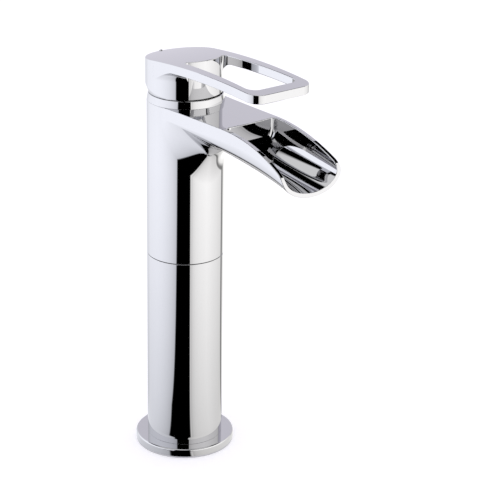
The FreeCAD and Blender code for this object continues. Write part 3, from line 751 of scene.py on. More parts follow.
def build_upper_body(column, spout, material):
    """Column top, deck, spout and trough as one closed shell."""
    shell = Shell()
    form = SpoutForm(spout)
    apron = ApronForm(form)
    edge = spout.edge
    ball = spout.root_round
    lines, stations = SKIN_LINES, SKIN_STATIONS
    parts = [(j / lines) ** LINE_CROWDING for j in range(lines + 1)]
    foot = column.seam + column.seam_gap

    # root round: a ball that rolls between the column and the spout
    roots, rolls = [], []
    for j, part in enumerate(parts):
        level = 1 - (1 - part) ** RIM_LEVELLING

        def contact(reach):
            spot, normal = form.line_corner(part, reach, edge)
            normal = Vector((normal.x, normal.y, normal.z * level)).normalized()
            return spot, normal, spot + normal * ball

        def gap(reach):
            middle = contact(reach)[2]
            return math.hypot(middle.x, middle.y) - (column.radius + ball)

        reach = solved(gap, *ROOT_SEARCH)
        spot, normal, middle = contact(reach)
        out = Vector((middle.x, middle.y, 0)).normalized()
        start = -out
        end = -normal
        row = []
        for k in range(ROLL_STEPS + 1):
            ray = start.slerp(end, k / ROLL_STEPS)
            row.append((middle + ray * ball, -ray))
        row[0] = (Vector((out.x * column.radius, out.y * column.radius, middle.z)), out)
        row[-1] = (spot, form.line_corner(part, reach, edge)[1])
        roots.append(reach)
        rolls.append(row)
    shell.grid(rolls)

    # outer skin of the spout
    ends = [form.line_end(part, edge) for part in parts]
    skin = []
    for j, part in enumerate(parts):
        row = []
        for i in range(stations + 1):
            reach = roots[j] + (ends[j] - roots[j]) * i / stations
            row.append(form.line_corner(part, reach, edge))
        row[0] = rolls[j][-1]
        skin.append(row)
    shell.grid(skin)

    # column below the spout and round the back
    fronts = [row[0] for row in rolls]
    columns = []
    for spot, normal in fronts:
        low = Vector((spot.x, spot.y, foot + column.seam_round))
        rows = [(low.lerp(spot, k / 4), normal) for k in range(5)]
        columns.append(rows)
    side = math.atan2(fronts[0][0].x, -fronts[0][0].y)
    backs = []
    for k in range(BACK_STEPS + 1):
        angle = side + (math.pi - side) * k / BACK_STEPS
        high = spout.deck - edge + (fronts[0][0].z - spout.deck + edge) * max(0.0, 1 - k / 4) ** 2
        rise = high - foot - column.seam_round
        backs.append([circle_corner(column.radius, angle, foot + column.seam_round + rise * n / 4)
                      for n in range(5)])
    backs[0] = columns[0]
    shell.grid(columns)
    shell.grid(backs)

    # rounded lower end and the hollow under the cartridge seat
    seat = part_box("cartridge_base")[0].z
    roof = seat - spout.seat_wall
    around = [row[0] for row in reversed(columns)] + [row[0] for row in backs[1:]]
    rows = []
    for spot, normal in around:
        corner = Vector((spot.x, spot.y, foot))
        row = bent_edge(corner, normal, -UP, column.seam_round, 3)
        for radius, height, light in (
                (column.bore, foot, -UP), (column.bore, foot, -normal),
                (column.bore, roof, -normal), (column.bore, roof, -UP), (0.0, roof, -UP)):
            row.append((Vector((normal.x * radius, normal.y * radius, height)), light))
        rows.append(row)
    shell.grid(rows)

    # trough and apron
    wall, floor = spout.side_wall, spout.floor_wall
    top = spout.deck - edge
    tip = spout.deck - spout.apron_tip
    starts, heights = [], []
    for part in parts:
        reach = APRON_SEARCH[1]
        for _ in range(SETTLING_ROUNDS):
            height = form.line_corner(part, reach, edge, wall, floor)[0].z
            if height < tip:
                break
            reach = apron.round_middle(height)[1]
        starts.append(reach)
        heights.append(height)
    last = max(j for j in range(lines + 1) if heights[j] >= tip)
    for j in range(last + 1, lines + 1):
        starts[j] = starts[last]
    corner_reach = starts[0]
    split = min(i for i in range(stations + 1) if -skin[0][i][0].y >= corner_reach)
    marks = [-skin[0][i][0].y for i in range(split, stations + 1)]
    shares = [(mark - marks[0]) / (marks[-1] - marks[0]) for mark in marks]
    trough = []
    for j, part in enumerate(parts):
        end = form.line_end(part, edge, wall, floor)
        trough.append([form.line_corner(part, starts[j] + (end - starts[j]) * f, edge, wall, floor)
                       for f in shares])
    shell.grid(trough)

    along = [k / 10 for k in range(11)] + [1 + k / 14 for k in range(1, 15)]
    low_edge = spout.deck - spout.apron_low
    face = []
    for q in range(last + 1):
        row = []
        for part in along:
            lowest = low_edge + (heights[last] - low_edge) * max(0.0, 1 - part) ** APRON_SINK
            height = top - (top - lowest) * (top - heights[q]) / (top - heights[last])
            row.append(apron.corner(part, height))
        row[0] = trough[q][0]
        face.append(row)
    shell.grid(face)

    # dark chamber under the deck, closed behind
    chamber = []
    steps = CHAMBER_STEPS
    for n in range(steps + 1):
        reach = starts[last] + (spout.chamber_back - starts[last]) * n / steps
        chamber.append([form.line_corner(parts[j], reach, edge, wall, floor) for j in range(last, lines + 1)])
    shell.grid(chamber)
    ceiling = []
    front = [spot for spot, _ in face[-1]]
    for n in range(steps + 1):
        lead = chamber[n][0][0]
        row = []
        for spot in front:
            back = -spot.y + (spout.chamber_back + spot.y) * n / steps
            row.append((Vector((spot.x * lead.x / front[0].x, -back, spot.z + lead.z - front[0].z)), -UP))
        row[0] = (lead, -UP)
        ceiling.append(row)
    shell.grid(ceiling)
    forwards = Vector((0, -1, 0))
    shell.face([(spot, forwards) for spot, _ in list(reversed(chamber[-1])) + ceiling[-1][1:]])

    # fine rounds along the rim, the mouth and the deck
    def rounded(corner, light=None):
        spot, normal = corner
        if light is None:
            light = form.outline_normal(-spot.y, spot.z)
        middle = spot - normal * edge
        row = [(middle + normal.slerp(light, k / 4) * edge, normal.slerp(light, k / 4)) for k in range(5)]
        row[0] = corner
        return row

    outer_back = [rounded(row[-1], UP) for row in reversed(backs)]
    outer_root = [rounded(corner, UP) for corner in rolls[0][1:]]
    outer_rim = [rounded(corner) for corner in skin[0][1:]]
    outer_mouth = [rounded(row[-1]) for row in skin[1:]]
    shell.grid(outer_back + outer_root + outer_rim + outer_mouth)
    inner_mouth = [rounded(row[-1]) for row in reversed(trough[1:])]
    inner_rim = [rounded(corner) for corner in reversed(trough[0])]
    inner_apron = [rounded(corner, form.outline_normal(-corner[0].y, spout.deck)) for corner in face[0][1:]]
    shell.grid(inner_mouth + inner_rim + inner_apron)

    rim_out = [row[-1] for row in [outer_root[-1]] + outer_rim][split:]
    rim_in = [row[-1] for row in reversed(inner_rim)]
    mouth_out = [row[-1] for row in outer_mouth]
    mouth_in = [row[-1] for row in reversed(inner_mouth)]
    shell.grid([rim_out + mouth_out, rim_in + mouth_in])

    # deck around the cartridge bore
    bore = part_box("cartridge_nut")[1].x + NUT_CLEARANCE
    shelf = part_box("cartridge_nut")[0].z - NUT_SINK
    lower_bore = spout.seat_bore
    deck_out = [row[-1] for row in outer_back + outer_root] + [row[-1] for row in outer_rim[:split]]
    deck_in = [row[-1] for row in inner_apron]
    hole = [(circle_corner(bore, math.pi * k / BORE_STEPS, spout.deck)[0], UP)
            for k in range(BORE_STEPS + 1)]
    middle_front = line_between(deck_in[-1], hole[0], 16)
    middle_back = line_between(hole[-1], deck_out[0], 3)
    rim = deck_out + [rim_in[0]] + deck_in + middle_front + hole + middle_back
    spots = grid_spots(1.6, 1.5, 16, -46, 18, -0.7 * MM)

    def deck_corner(x, y):
        height = form.rim(-y)
        return Vector((x, y, height)), form.outline_normal(-y, height)

    shell.sheet(rim, [], deck_corner, spots)
    rows = []
    for spot, _ in hole:
        out = Vector((spot.x, spot.y, 0)).normalized()
        row = [(spot, -out)]
        for radius, height, light in (
                (bore, shelf, -out), (bore, shelf, UP), (lower_bore, shelf, UP), (lower_bore, shelf, -out),
                (lower_bore, seat, -out), (lower_bore, seat, UP), (0.0, seat, UP)):
            row.append((Vector((out.x * radius, out.y * radius, height)), light))
        rows.append(row)
    shell.grid(rows)
    shell.mirror()
    return shell.piece("upper_body_shell", material)


def line_between(start, end, steps):
    """Corners strictly between two corners of a flat face."""
    return [(start[0].lerp(end[0], k / steps), end[1] if k * 2 > steps else start[1])
            for k in range(1, steps)]


# ------------------------------------------------------------------ lever
class LeverForm:
    """Curves of the cap and the loop."""

    def __init__(self, sizes):
        self.s = sizes
        s = sizes
        away = Vector((s.front_half, -(s.loop_reach - s.corner) - s.cap_back))
        self.touch = math.atan2(away.y, away.x) + math.acos(s.cap_radius / away.length)

    def crown(self, y):
        s = self.s
        return s.crown - s.crown_radius + math.sqrt(s.crown_radius ** 2 - (y + s.crown_reach) ** 2)

    def crown_normal(self, y):
        lean = (y + self.s.crown_reach) / self.s.crown_radius
        return Vector((0, lean, math.sqrt(1 - lean * lean)))

    def clear(self, x, y):
        """Distance from the cap's wall."""
        return math.hypot(x, y - self.s.cap_back) - self.s.cap_radius

    def arm_low(self, x, y):
        """Height of the arms' underside, blended into the cap's wall."""
        s = self.s
        off = min(max(0.0, self.clear(x, y)), s.blend)
        return self.crown(y) - s.thickness - s.blend + math.sqrt(s.blend ** 2 - (s.blend - off) ** 2)

    def arm_low_normal(self, x, y):
        s = self.s
        off = min(max(0.0, self.clear(x, y)), s.blend)
        out = Vector((x, y - s.cap_back, 0)).normalized()
        lean = (s.blend - off) / s.blend
        return out * lean - self.crown_normal(y) * math.sqrt(1 - lean * lean)

    def outline(self):
        """Right half of the outer outline, from the back to the front: (x, y, normal, kind)."""
        s = self.s
        found = [(*spot, "cap") for spot in arc(0.0, s.cap_back, s.cap_radius, QUARTER, self.touch, 64)]
        start = Vector(found[-1][:2])
        found.pop()
        end = Vector((s.front_half, -(s.loop_reach - s.corner)))
        normal = Vector((math.cos(self.touch), math.sin(self.touch), 0))
        for k in range(90):
            spot = start.lerp(end, k / 90)
            found.append((spot.x, spot.y, normal, "arm"))
        tip = Vector((s.front_half - s.corner, -(s.loop_reach - s.corner)))
        bend = arc(tip.x, tip.y, s.corner, 0.0, -QUARTER, 18)
        found.append((*bend[0][:2], (bend[0][2] + normal).normalized(), "arm"))
        found += [(*spot, "arm") for spot in bend[1:]]
        for k in range(1, 13):
            found.append((tip.x * (1 - k / 12), -s.loop_reach, Vector((0, -1, 0)), "arm"))
        return found

    def cap_front(self, first, last, steps):
        """Points of the cap's wall between two angles from its front."""
        s = self.s
        found = []
        for k in range(steps + 1):
            angle = first + (last - first) * k / steps
            normal = Vector((math.sin(angle), -math.cos(angle), 0))
            found.append((s.cap_radius * normal.x, s.cap_back + s.cap_radius * normal.y, normal, "cap"))
        return found

    def hole(self):
        """Right half of the finger hole, from the cap's front to the front bar."""
        s = self.s
        reach = s.loop_reach - s.front_bar
        run = reach - s.hole_corner
        side = Vector((s.hole_front - s.hole_root, -run)).normalized()
        inward = Vector((side.y, -side.x))
        foot = Vector((s.hole_root, 0))

        def centre(spot_reach):
            line = foot + side * (spot_reach / -side.y)
            return line + inward * s.hole_round

        def gap(spot_reach):
            return (centre(spot_reach) - Vector((0, s.cap_back))).length - s.cap_radius - s.hole_round

        middle = centre(solved(gap, 5 * MM, 60 * MM))
        away = (middle - Vector((0, s.cap_back))).normalized()
        last = math.atan2(away.x, -away.y)
        found = self.cap_front(0.0, last, 24)
        turn_from = math.atan2(-away.y, -away.x)
        turn_to = math.atan2(-inward.y, -inward.x)
        if turn_from > turn_to:
            turn_from -= 2 * math.pi
        if turn_to - turn_from > math.pi:
            turn_from += 2 * math.pi
        for x, y, ray in arc(middle.x, middle.y, s.hole_round, turn_from, turn_to, 8)[1:]:
            found.append((x, y, -ray, "arm"))
        start = Vector(found[-1][:2])
        end = Vector((s.hole_front, -run))
        light = Vector((inward.x, inward.y, 0))
        for k in range(1, 64):
            spot = start.lerp(end, k / 64)
            found.append((spot.x, spot.y, light, "arm"))
        tip = Vector((s.hole_front - s.hole_corner, -run))
        bend = arc(tip.x, tip.y, s.hole_corner, 0.0, -QUARTER, 14)
        found.append((*bend[0][:2], (light - bend[0][2]).normalized(), "arm"))
        found += [(x, y, -ray, "arm") for x, y, ray in bend[1:]]
        for k in range(1, 11):
            found.append((tip.x * (1 - k / 10), -reach, Vector((0, 1, 0)), "arm"))
        return found

    def skirt_radius(self, out, height):
        """Distance of the cap's wall from the cap's axis, along a plan direction."""
        s = self.s
        ball = s.tilt_radius ** 2 - (height - s.pivot) ** 2
        cross = s.cap_back * out.y
        return min(s.cap_radius, math.sqrt(cross * cross - s.cap_back ** 2 + ball) - cross)

    def crease(self, out):
        """Height at which the upright wall turns into the ball about the tilt pin."""
        s = self.s
        cross = s.cap_back * out.y
        rise = s.tilt_radius ** 2 - s.cap_back ** 2 + cross ** 2 - (s.cap_radius + cross) ** 2
        return max(s.cap_low + s.edge, s.pivot - math.sqrt(max(0.0, rise)))

    def skirt_corner(self, out, height):
        """Corner of the ball below the crease, with the ball's normal."""
        s = self.s
        radius = self.skirt_radius(out, height)
        spot = Vector((out.x * radius, s.cap_back + out.y * radius, height))
        return spot, (spot - Vector((0, 0, s.pivot))).normalized()


def build_lever(lever, material):
    """Cap and loop as one closed shell."""
    s = lever
    shell = Shell()
    form = LeverForm(s)
    edge = s.edge
    outline = form.outline()
    hole = form.hole()

    def top_row(x, y, normal):
        return bent_edge(Vector((x, y, form.crown(y))), normal, form.crown_normal(y), edge)

    def low_row(x, y, normal):
        return bent_edge(Vector((x, y, form.arm_low(x, y))), normal, form.arm_low_normal(x, y), edge)

    def wall(points):
        """Fine rounds and the upright face between them, for points of the arms."""
        rows, tops, lows = [], [], []
        for x, y, normal, _ in points:
            top = top_row(x, y, normal)
            low = low_row(x, y, normal)
            face = [(low[0][0].lerp(top[0][0], k / 4), normal) for k in range(1, 4)]
            rows.append(list(reversed(low)) + face + top)
            tops.append(top[-1])
            lows.append(low[-1])
        shell.grid(rows)
        return tops, lows

    def cap_wall(points, whole):
        """Cap's wall below the arms, or up to the top face where it is whole."""
        rows, tops = [], []
        for x, y, normal, _ in points:
            shoulder = form.crown(y) - s.thickness - s.blend
            start, crease = s.cap_low + edge, form.crease(normal)
            bends = [form.skirt_corner(normal, start + (crease - start) * k / 12) for k in range(13)]
            foot, light = bends[0] if crease > start else (bends[0][0], normal)
            low = bent_edge(Vector((foot.x, foot.y, s.cap_low)), light, -UP, edge / 2)
            row = list(reversed(low)) + bends + [(bends[-1][0], normal)]
            row += [(Vector((x, y, crease + (shoulder - crease) * k / 8)), normal) for k in range(1, 9)]
            if whole:
                top = top_row(x, y, normal)
                row += [(Vector((x, y, shoulder + (top[0][0].z - shoulder) * k / 3)), normal) for k in (1, 2)]
                row += top
                tops.append(top[-1])
            rows.append(row)
        shell.grid(rows)
        return rows, tops

    backs = [point for point in outline if point[3] == "cap"]
    arms = [point for point in outline if point[3] == "arm"]
    fronts = [point for point in hole if point[3] == "cap"]
    sides = [fronts[-1]] + [point for point in hole if point[3] == "arm"]
    first = math.atan2(fronts[-1][2].x, -fronts[-1][2].y)
    under = form.cap_front(first, QUARTER + form.touch, 40)
    back_rows, back_tops = cap_wall(backs + arms[:1], True)
    front_rows, front_tops = cap_wall(fronts, True)
    under_rows, _ = cap_wall(under, False)
    arm_tops, arm_lows = wall(arms)
    hole_tops, hole_lows = wall(sides)

    # top face
    rim = back_tops + arm_tops[1:]
    inner = front_tops + hole_tops[1:]
    front_line = line_between(arm_tops[-1], hole_tops[-1], 6)
    back_line = line_between(front_tops[0], back_tops[0], 22)
    spots = grid_spots(1.9, 2.3, 14, -42, 12)

    def on_crown(x, y):
        return Vector((x, y, form.crown(y))), form.crown_normal(y)

    def laid(line):
        return [on_crown(p.x, p.y) for p, _ in line]

    loop = rim + laid(front_line) + list(reversed(inner)) + laid(back_line)
    shell.sheet(loop, [], on_crown, spots)

    # underside of the arms
    spots = grid_spots(1.5, 2.3, 17, -42, 2)
    for ring in range(1, 10):
        off = s.blend * (1 - math.cos(QUARTER * ring / 9))
        for k in range(121):
            angle = math.pi * 0.62 * k / 120
            radius = s.cap_radius + off
            spots.append((radius * math.sin(angle), s.cap_back - radius * math.cos(angle)))

    def on_underside(x, y):
        return Vector((x, y, form.arm_low(x, y))), form.arm_low_normal(x, y)

    low_front = [on_underside(p.x, p.y) for p, _ in line_between(arm_lows[-1], hole_lows[-1], 6)]
    shoulders = [(Vector((x, y, form.crown(y) - s.thickness - s.blend)), normal) for x, y, normal, _ in under]
    loop = arm_lows + low_front + list(reversed(hole_lows)) + shoulders[1:-1]
    shell.sheet(loop, [], on_underside, spots)

    # lower face of the skirt and the hollow inside the cap
    around = front_rows + under_rows[1:] + list(reversed(back_rows))[1:]
    rows = []
    for row in around:
        lip = row[0][0]
        out = Vector((lip.x, lip.y - s.hollow_back, 0)).normalized()
        spot = Vector((out.x * s.hollow_radius, s.hollow_back + out.y * s.hollow_radius, s.cap_low))
        high = Vector((spot.x, spot.y, s.hollow_roof))
        axis = Vector((0, s.hollow_back, s.hollow_roof))
        rows.append([(lip, -UP), (spot, -UP), (spot, -out), (high, -out), (high, -UP), (axis, -UP)])
    shell.grid(rows)
    shell.mirror()
    return shell.piece("lever_shell", material)


# the cover's profile: parts of its radius and of its rise
DOME = ((1.0, -2.2), (1.0, -0.1), (0.98, 0.35), (0.93, 0.7), (0.8, 0.9), (0.5, 0.98), (0.0, 1.0))
DOME_STEPS = 48


def build_cover(lever, material):
    """Domed cover over the grub screw at the back of the cap."""
    shell = Shell()
    middle = Vector((0, lever.cap_back + lever.cap_radius, lever.pivot + lever.cover_rise))
    rows = []
    for k in range(DOME_STEPS + 1):
        angle = 2 * math.pi * k / DOME_STEPS
        out = Vector((math.cos(angle), 0, math.sin(angle)))
        row = []
        drop = lever.cover_radius ** 2 * math.cos(angle) ** 2 / (2 * lever.cap_radius)
        for part, rise in DOME:
            radius = lever.cover_radius * part
            proud = lever.cover_proud * rise - drop * part ** 2
            light = out if part == 1.0 else (out * part ** 4 + Vector((0, 1, 0))).normalized()
            row.append((middle + out * radius + Vector((0, proud, 0)), light))
        row.insert(0, (middle - Vector((0, drop - lever.cover_proud * DOME[0][1], 0)), Vector((0, -1, 0))))
        rows.append(row)
    shell.grid(rows)
    return shell.piece("screw_cover_dome", material)


# ------------------------------------------------------------------ finishes
def finish_material(name, colour, metallic, roughness, fleck, grain, bump, wear=0.0):
    """A finish with fine variation of tone, gloss and relief.

    fleck is how much the tone varies, grain the size of the pattern in metres and
    bump the depth of the relief in metres. wear lightens raised spots.
    """
    material, tree, place = new_material(name)
    coarse = tree.node("ShaderNodeTexNoise", {}, Vector=place, Scale=0.12 / grain, Detail=3.0, Roughness=0.55)
    fine = tree.node("ShaderNodeTexNoise", {}, Vector=place, Scale=1.0 / grain, Detail=2.0, Roughness=0.5)
    tone = (coarse - 0.5) * fleck + 1.0 + (fine - 0.5) * (fleck * 0.5)
    base = tree.node("ShaderNodeVectorMath", {"operation": "SCALE"}, colour, Scale=tone)
    if wear:
        spots = ((fine - 0.62) * 6.0).clamped() * wear
        base = tree.node("ShaderNodeMix", {"data_type": "RGBA"}, spots, base,
                         tuple(min(1.0, c * 1.5 + 0.06) for c in colour) + (1.0,))
    gloss = (coarse - 0.5) * (roughness * 0.5) + (fine - 0.5) * (roughness * 0.35) + roughness
    relief = tree.node("ShaderNodeBump", {}, Strength=1.0, Distance=bump, Height=fine)
    surface = tree.node("ShaderNodeBsdfPrincipled", {}, Base_Color=base, Metallic=metallic,
                        Roughness=gloss.clamped(), Normal=relief)
    tree.end("ShaderNodeOutputMaterial", surface)
    return material


def plate_material(name, colour):
    """Polished chrome with faint wipe marks and a trace of waviness."""
    material, tree, place = new_material(name)
    drawn = tree.node("ShaderNodeMapping", {}, place, Rotation=(0.0, 0.0, 0.35), Scale=(1.0, 1.0, 0.22))
    film = tree.node("ShaderNodeTexNoise", {}, Vector=place, Scale=34.0, Detail=3.0, Roughness=0.5)
    wipes = tree.node("ShaderNodeTexNoise", {}, Vector=drawn, Scale=900.0, Detail=4.0, Roughness=0.65)
    pits = tree.node("ShaderNodeTexVoronoi", {}, Vector=place, Scale=420.0)
    specks = (0.07 - pits).clamped() * 14.0
    base = tree.node("ShaderNodeVectorMath", {"operation": "SCALE"}, colour,
                     Scale=1.0 + (film - 0.5) * 0.02 + (wipes - 0.5) * 0.03 - specks * 0.02)
    gloss = 0.022 + film * 0.012 + ((wipes - 0.55) * 3.0).clamped() * 0.03 + specks * 0.08
    relief = tree.node("ShaderNodeBump", {}, Strength=1.0, Distance=0.0000006, Height=wipes)
    surface = tree.node("ShaderNodeBsdfPrincipled", {}, Base_Color=base, Metallic=1.0,
                        Roughness=gloss.clamped(), Normal=relief)
    tree.end("ShaderNodeOutputMaterial", surface)
    return material


def finish(name):
    """The material of a finish, made when it is first asked for."""
    colours = bpy.context.scene.tap_finishes
    made = bpy.data.materials.get("finish " + name)
    if made:
        return made
    label = "finish " + name
    colour = tuple(getattr(colours, name))
    if name == "chrome":
        return plate_material(label, colour)
    kinds = {
        "brass": dict(metallic=1.0, roughness=0.24, fleck=0.14, grain=0.0011, bump=0.00002, wear=0.25),
        "copper": dict(metallic=1.0, roughness=0.28, fleck=0.22, grain=0.0016, bump=0.00002, wear=0.3),
        "steel": dict(metallic=1.0, roughness=0.3, fleck=0.1, grain=0.0008, bump=0.000015, wear=0.2),
        "rubber": dict(metallic=0.0, roughness=0.62, fleck=0.3, grain=0.0006, bump=0.00004, wear=0.12),
        "plastic": dict(metallic=0.0, roughness=0.42, fleck=0.2, grain=0.0005, bump=0.00002, wear=0.06),
        "ceramic": dict(metallic=0.0, roughness=0.14, fleck=0.05, grain=0.0007, bump=0.000006, wear=0.1),
    }
    return finish_material(label, colour, **kinds[name])


# ------------------------------------------------------------------ operators
class TAP_OT_foot(bpy.types.Operator):
    """Makes the foot flange."""
    bl_idname = "tap.foot"
    bl_label = "Foot flange"

    def execute(self, context):
        s = context.scene.tap_column
        made = turned_piece("foot_flange_shell", finish("chrome"), bore=s.flange_bore,
                            lower_radius=s.flange_radius, upper_radius=s.flange_radius, bottom=0.0,
                            top=s.flange_height, lower_round=0.2 * MM, upper_round=s.flange_round)
        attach(made, "root")
        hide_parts("base_flange")
        return {"FINISHED"}


class TAP_OT_column(bpy.types.Operator):
    """Makes the lower column."""
    bl_idname = "tap.column"
    bl_label = "Lower column"

    def execute(self, context):
        s = context.scene.tap_column
        made = turned_piece("lower_column_shell", finish("chrome"), bore=s.bore, lower_radius=s.radius,
                            upper_radius=s.radius, bottom=s.flange_height, top=s.seam,
                            lower_round=0.15 * MM, upper_round=s.seam_round)
        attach(made, "root")
        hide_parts("lower_column")
        return {"FINISHED"}


class TAP_OT_trim_ring(bpy.types.Operator):
    """Makes the ring between the deck and the cap."""
    bl_idname = "tap.trim_ring"
    bl_label = "Trim ring"

    def execute(self, context):
        s = context.scene.tap_column
        deck = context.scene.tap_spout.deck
        made = turned_piece("trim_ring_shell", finish("chrome"), bore=s.ring_bore, lower_radius=s.ring_lower,
                            upper_radius=s.ring_upper, bottom=deck, top=deck + s.ring_height,
                            lower_round=0.1 * MM, upper_round=s.ring_round)
        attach(made, "root")
        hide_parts("trim_ring")
        return {"FINISHED"}


class TAP_OT_upper_body(bpy.types.Operator):
    """Makes the top of the column with the deck and the open spout."""
    bl_idname = "tap.upper_body"
    bl_label = "Upper body and spout"

    def execute(self, context):
        made = build_upper_body(context.scene.tap_column, context.scene.tap_spout, finish("chrome"))
        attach(made, "root")
        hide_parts("upper_body")
        return {"FINISHED"}


class TAP_OT_lever(bpy.types.Operator):
    """Makes the lever with its cap, its loop and the cover of its screw."""
    bl_idname = "tap.lever"
    bl_label = "Lever"

    def execute(self, context):
        made = build_lever(context.scene.tap_lever, finish("chrome"))
        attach(made, "lever")
        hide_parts("handle")
        cover = build_cover(context.scene.tap_lever, finish("chrome"))
        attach(cover, "lever")
        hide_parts("grub_screw_cover")
        return {"FINISHED"}


class TAP_OT_works(bpy.types.Operator):
    """Gives the cartridge, pipes, seals and screws their finishes."""
    bl_idname = "tap.works"
    bl_label = "Inner parts"

    def execute(self, context):
        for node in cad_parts.values():
            for place in node.material_slots:
                place.material = finish(place.material.name.split(".")[0])
        return {"FINISHED"}


class TAP_OT_studio(bpy.types.Operator):
    """Makes the floor, the soft boxes, the surround and the camera."""
    bl_idname = "tap.studio"
    bl_label = "Studio"

    def execute(self, context):
        studio = context.scene.tap_studio
        build_floor(studio)
        build_soft_boxes(studio)
        build_surround(studio)
        build_camera(studio)
        context.scene.view_settings.view_transform = "Standard"
        return {"FINISHED"}


# ------------------------------------------------------------------ studio
# brightness of the two soft boxes by direction, in degrees from the dark gap between them
LEFT_BOX = ((-180, 0.60), (-156, 0.60), (-144, 0.74), (-128, 0.91), (-110, 0.97), (-90, 1.0),
            (-70, 0.98), (-56, 0.93), (-44, 0.87), (-33, 0.79), (-24, 0.68), (-20.5, 0.58), (-19.5, 0.0))
RIGHT_BOX = ((16.6, 0.0), (17, 0.84), (18.8, 0.84), (19.6, 0.62), (24, 0.78), (32, 0.88), (46, 0.95),
             (67, 1.0), (79, 0.97), (91, 0.92), (105, 0.87), (122, 0.78), (131, 0.72), (134, 0.2),
             (140, 0.2), (150, 0.75), (180, 0.80))
# brightness of both boxes by distance from the column's axis, in metres
BOX_FADE = ((0.0, 0.56), (0.05, 0.70), (0.1, 0.76), (0.2, 0.84), (0.3, 0.90), (0.45, 0.96), (0.6, 1.0))
# the left box's edge runs slantwise near the column
EDGE_SLANT = 0.24
EDGE_SHIFT = 0.022
# the part of the tray that only the flange mirrors has its own edges
FLANGE_LIGHT = 0.0445
FLANGE_BLEND = 0.001
FLANGE_SHIFT_FROM = 0.044
FLANGE_SLANT = 0.32
FLANGE_TURN = 0.0165
# places of the tray, the drum and the lid
TRAY_HOLE = 0.0329
DRUM_RADIUS = 1.7
DRUM_FOOT = 0.001
DRUM_TOP = 1.8
DRUM_STEPS = 96
DRUM_FROM, DRUM_TO = -160, 134
# brightness of the lid by half its distance from the axis
LID_FADE = ((0.0, 0.6), (0.50, 0.6), (0.56, 0.0))
FLOOR_HALF = 4
FLOOR_GLOW = 0.3


def flat_object(name, points, faces):
    mesh = bpy.data.meshes.new(name)
    mesh.from_pydata(points, [], faces)
    return linked(name, mesh)


def build_floor(studio):
    """Pale floor. The camera and the metal see it white, less the object's shadow."""
    half = FLOOR_HALF
    made = flat_object("floor", [(-half, -half, 0), (half, -half, 0), (half, half, 0), (-half, half, 0)],
                       [(0, 1, 2, 3)])
    material, tree, place = new_material("pale floor")
    grain = tree.node("ShaderNodeTexNoise", {}, Vector=place, Scale=60.0, Detail=3.0)
    tone = tree.node("ShaderNodeVectorMath", {"operation": "SCALE"}, tuple(studio.floor),
                     Scale=0.99 + grain * 0.02)
    matt = tree.node("ShaderNodeBsdfDiffuse", {}, Color=tone)
    glow = tree.node("ShaderNodeEmission", {}, (1.0, 1.0, 1.0, 1.0), FLOOR_GLOW)
    both = tree.node("ShaderNodeAddShader", {}, matt, glow)
    camera, glossy = (tree.node("ShaderNodeLightPath", out=f"Is {ray} Ray") for ray in ("Camera", "Glossy"))
    shown = tree.node("ShaderNodeMixShader", {}, (camera + glossy).clamped(), matt, both)
    tree.end("ShaderNodeOutputMaterial", shown)
    made.data.materials.append(material)


def bearing_of(tree, x, y):
    """Direction round the axis as a part of a full turn, with the dark gap at 0.5."""
    return tree.node("ShaderNodeMath", {"operation": "ARCTAN2"}, x, 0 - y) / (2 * math.pi) + 0.5


def box_material(studio):
    """Light of the two soft boxes by direction round the column and distance from it."""
    material, tree, place = new_material("soft boxes")
    turned = tree.node("ShaderNodeVectorRotate", {"rotation_type": "Z_AXIS"}, place, Angle=-studio.azimuth)
    x, y, far = distance(tree, turned)
    near = ((FLANGE_LIGHT - far) / FLANGE_BLEND).clamped()
    shift = tree.node("ShaderNodeMath", {"operation": "MINIMUM"}, far * EDGE_SLANT, EDGE_SHIFT) * (1 - near)
    shifted = x + shift + (far - FLANGE_SHIFT_FROM) * FLANGE_SLANT * near
    fade = tree.node("ShaderNodeValToRGB", {"stops": BOX_FADE}, far)
    parts = []
    for bearing, box, colour, strength in (
            (bearing_of(tree, shifted, y), LEFT_BOX, studio.cool, studio.left_level),
            (bearing_of(tree, x, y) + near * FLANGE_TURN, RIGHT_BOX, studio.warm, studio.right_level)):
        stops = [(0.5 + degrees / 360, value) for degrees, value in box]
        level = tree.node("ShaderNodeValToRGB", {"stops": stops}, bearing)
        shade = tree.node("ShaderNodeVectorMath", {"operation": "MULTIPLY"}, level, fade)
        tinted = tree.node("ShaderNodeVectorMath", {"operation": "MULTIPLY"}, shade, tuple(colour))
        parts.append(tree.node("ShaderNodeEmission", {}, tinted, strength))
    tree.end("ShaderNodeOutputMaterial", tree.node("ShaderNodeAddShader", {}, *parts))
    return material


def lid_material(studio):
    """Dark ceiling with a bright round panel in the middle."""
    material, tree, place = new_material("ceiling")
    _, _, far = distance(tree, place)
    level = tree.node("ShaderNodeValToRGB", {"stops": LID_FADE}, far * 0.5)
    tree.end("ShaderNodeOutputMaterial", tree.node("ShaderNodeEmission", {}, level, studio.right_level))
    return material


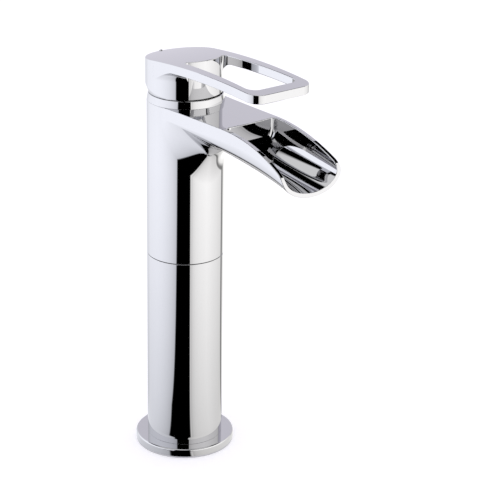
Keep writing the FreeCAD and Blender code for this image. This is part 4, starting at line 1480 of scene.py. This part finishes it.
def build_soft_boxes(studio):
    """A low tray of light round the foot, a drum of light round the camera's side and a lid over it."""
    light = box_material(studio)
    steps = DRUM_STEPS
    turns = [2 * math.pi * k / steps for k in range(steps)]

    def circle(radius, height):
        return [(math.cos(turn) * radius, math.sin(turn) * radius, height) for turn in turns]

    faces = [(k, (k + 1) % steps, steps + (k + 1) % steps, steps + k) for k in range(steps)]
    kept = []
    for k in range(steps):
        angle = math.degrees(2 * math.pi * (k + 0.5) / steps - studio.azimuth) + 90
        if DRUM_FROM < (angle + 180) % 360 - 180 < DRUM_TO:
            kept.append(faces[k])
    low, high = circle(DRUM_RADIUS, DRUM_FOOT), circle(DRUM_RADIUS, DRUM_TOP)
    for name, points, cells, material in (
            ("light_tray", circle(TRAY_HOLE, DRUM_FOOT) + low, faces, light),
            ("light_drum", low + high, kept, light),
            ("light_lid", high, [tuple(range(steps))], lid_material(studio))):
        made = flat_object(name, points, cells)
        made.data.materials.append(material)
        made.visible_camera = False
        made.visible_shadow = False
        made.visible_diffuse = False
        made.visible_transmission = False


def build_surround(studio):
    world = bpy.data.worlds.new("white surround")
    bpy.context.scene.world = world
    tree = shader_tree(world)
    seen = tree.node("ShaderNodeLightPath", out="Is Camera Ray")
    colour = tree.node("ShaderNodeMix", {"data_type": "RGBA"}, seen,
                       A=(*studio.haze, 1.0), B=(*studio.sky, 1.0))
    tree.end("ShaderNodeOutputWorld", tree.node("ShaderNodeBackground", {}, colour, 1.0))


def build_camera(studio):
    """Camera at the photograph's place, with no shift and no depth of field."""
    lens = bpy.data.cameras.new("camera")
    camera = linked("camera", lens)
    bpy.context.scene.camera = camera
    yaw, pitch, roll = studio.camera_turn
    lens.sensor_width = 36
    lens.lens = 36 * studio.focal
    lens.clip_end = 50
    ahead = Vector((-math.sin(yaw), math.cos(yaw), 0))
    right = Vector((math.cos(yaw), math.sin(yaw), 0))
    forward = ahead * math.cos(pitch) - UP * math.sin(pitch)
    upward = ahead * math.sin(pitch) + UP * math.cos(pitch)
    across = right * math.cos(roll) - upward * math.sin(roll)
    rise = right * math.sin(roll) + upward * math.cos(roll)
    pose = Matrix((across, rise, -forward)).transposed().to_4x4()
    pose.translation = studio.camera_place
    camera.matrix_world = pose


# ------------------------------------------------------------------ panel and registration
STEPS = (TAP_OT_foot, TAP_OT_column, TAP_OT_trim_ring, TAP_OT_upper_body, TAP_OT_lever, TAP_OT_works,
         TAP_OT_studio)
SIZES = {"tap_column": ColumnSizes, "tap_spout": SpoutSizes, "tap_lever": LeverSizes,
         "tap_finishes": Finishes, "tap_studio": Studio}


class TAP_PT_panel(bpy.types.Panel):
    """Lists the pieces of the tap."""
    bl_idname = "TAP_PT_panel"
    bl_label = "Waterfall basin tap"
    bl_space_type = "VIEW_3D"
    bl_region_type = "UI"
    bl_category = "Tap"

    def draw(self, context):
        for step in STEPS:
            self.layout.operator(step.bl_idname)


def register():
    for group in (*SIZES.values(), *STEPS, TAP_PT_panel):
        bpy.utils.register_class(group)
    for name, group in SIZES.items():
        setattr(bpy.types.Scene, name, bpy.props.PointerProperty(type=group))


def unregister():
    for name in SIZES:
        delattr(bpy.types.Scene, name)
    for group in (TAP_PT_panel, *reversed(STEPS), *SIZES.values()):
        bpy.utils.unregister_class(group)


def main():
    """Builds everything."""
    register()
    for step in STEPS:
        family, name = step.bl_idname.split(".")
        getattr(getattr(bpy.ops, family), name)()


if __name__ == "__main__":
    main()
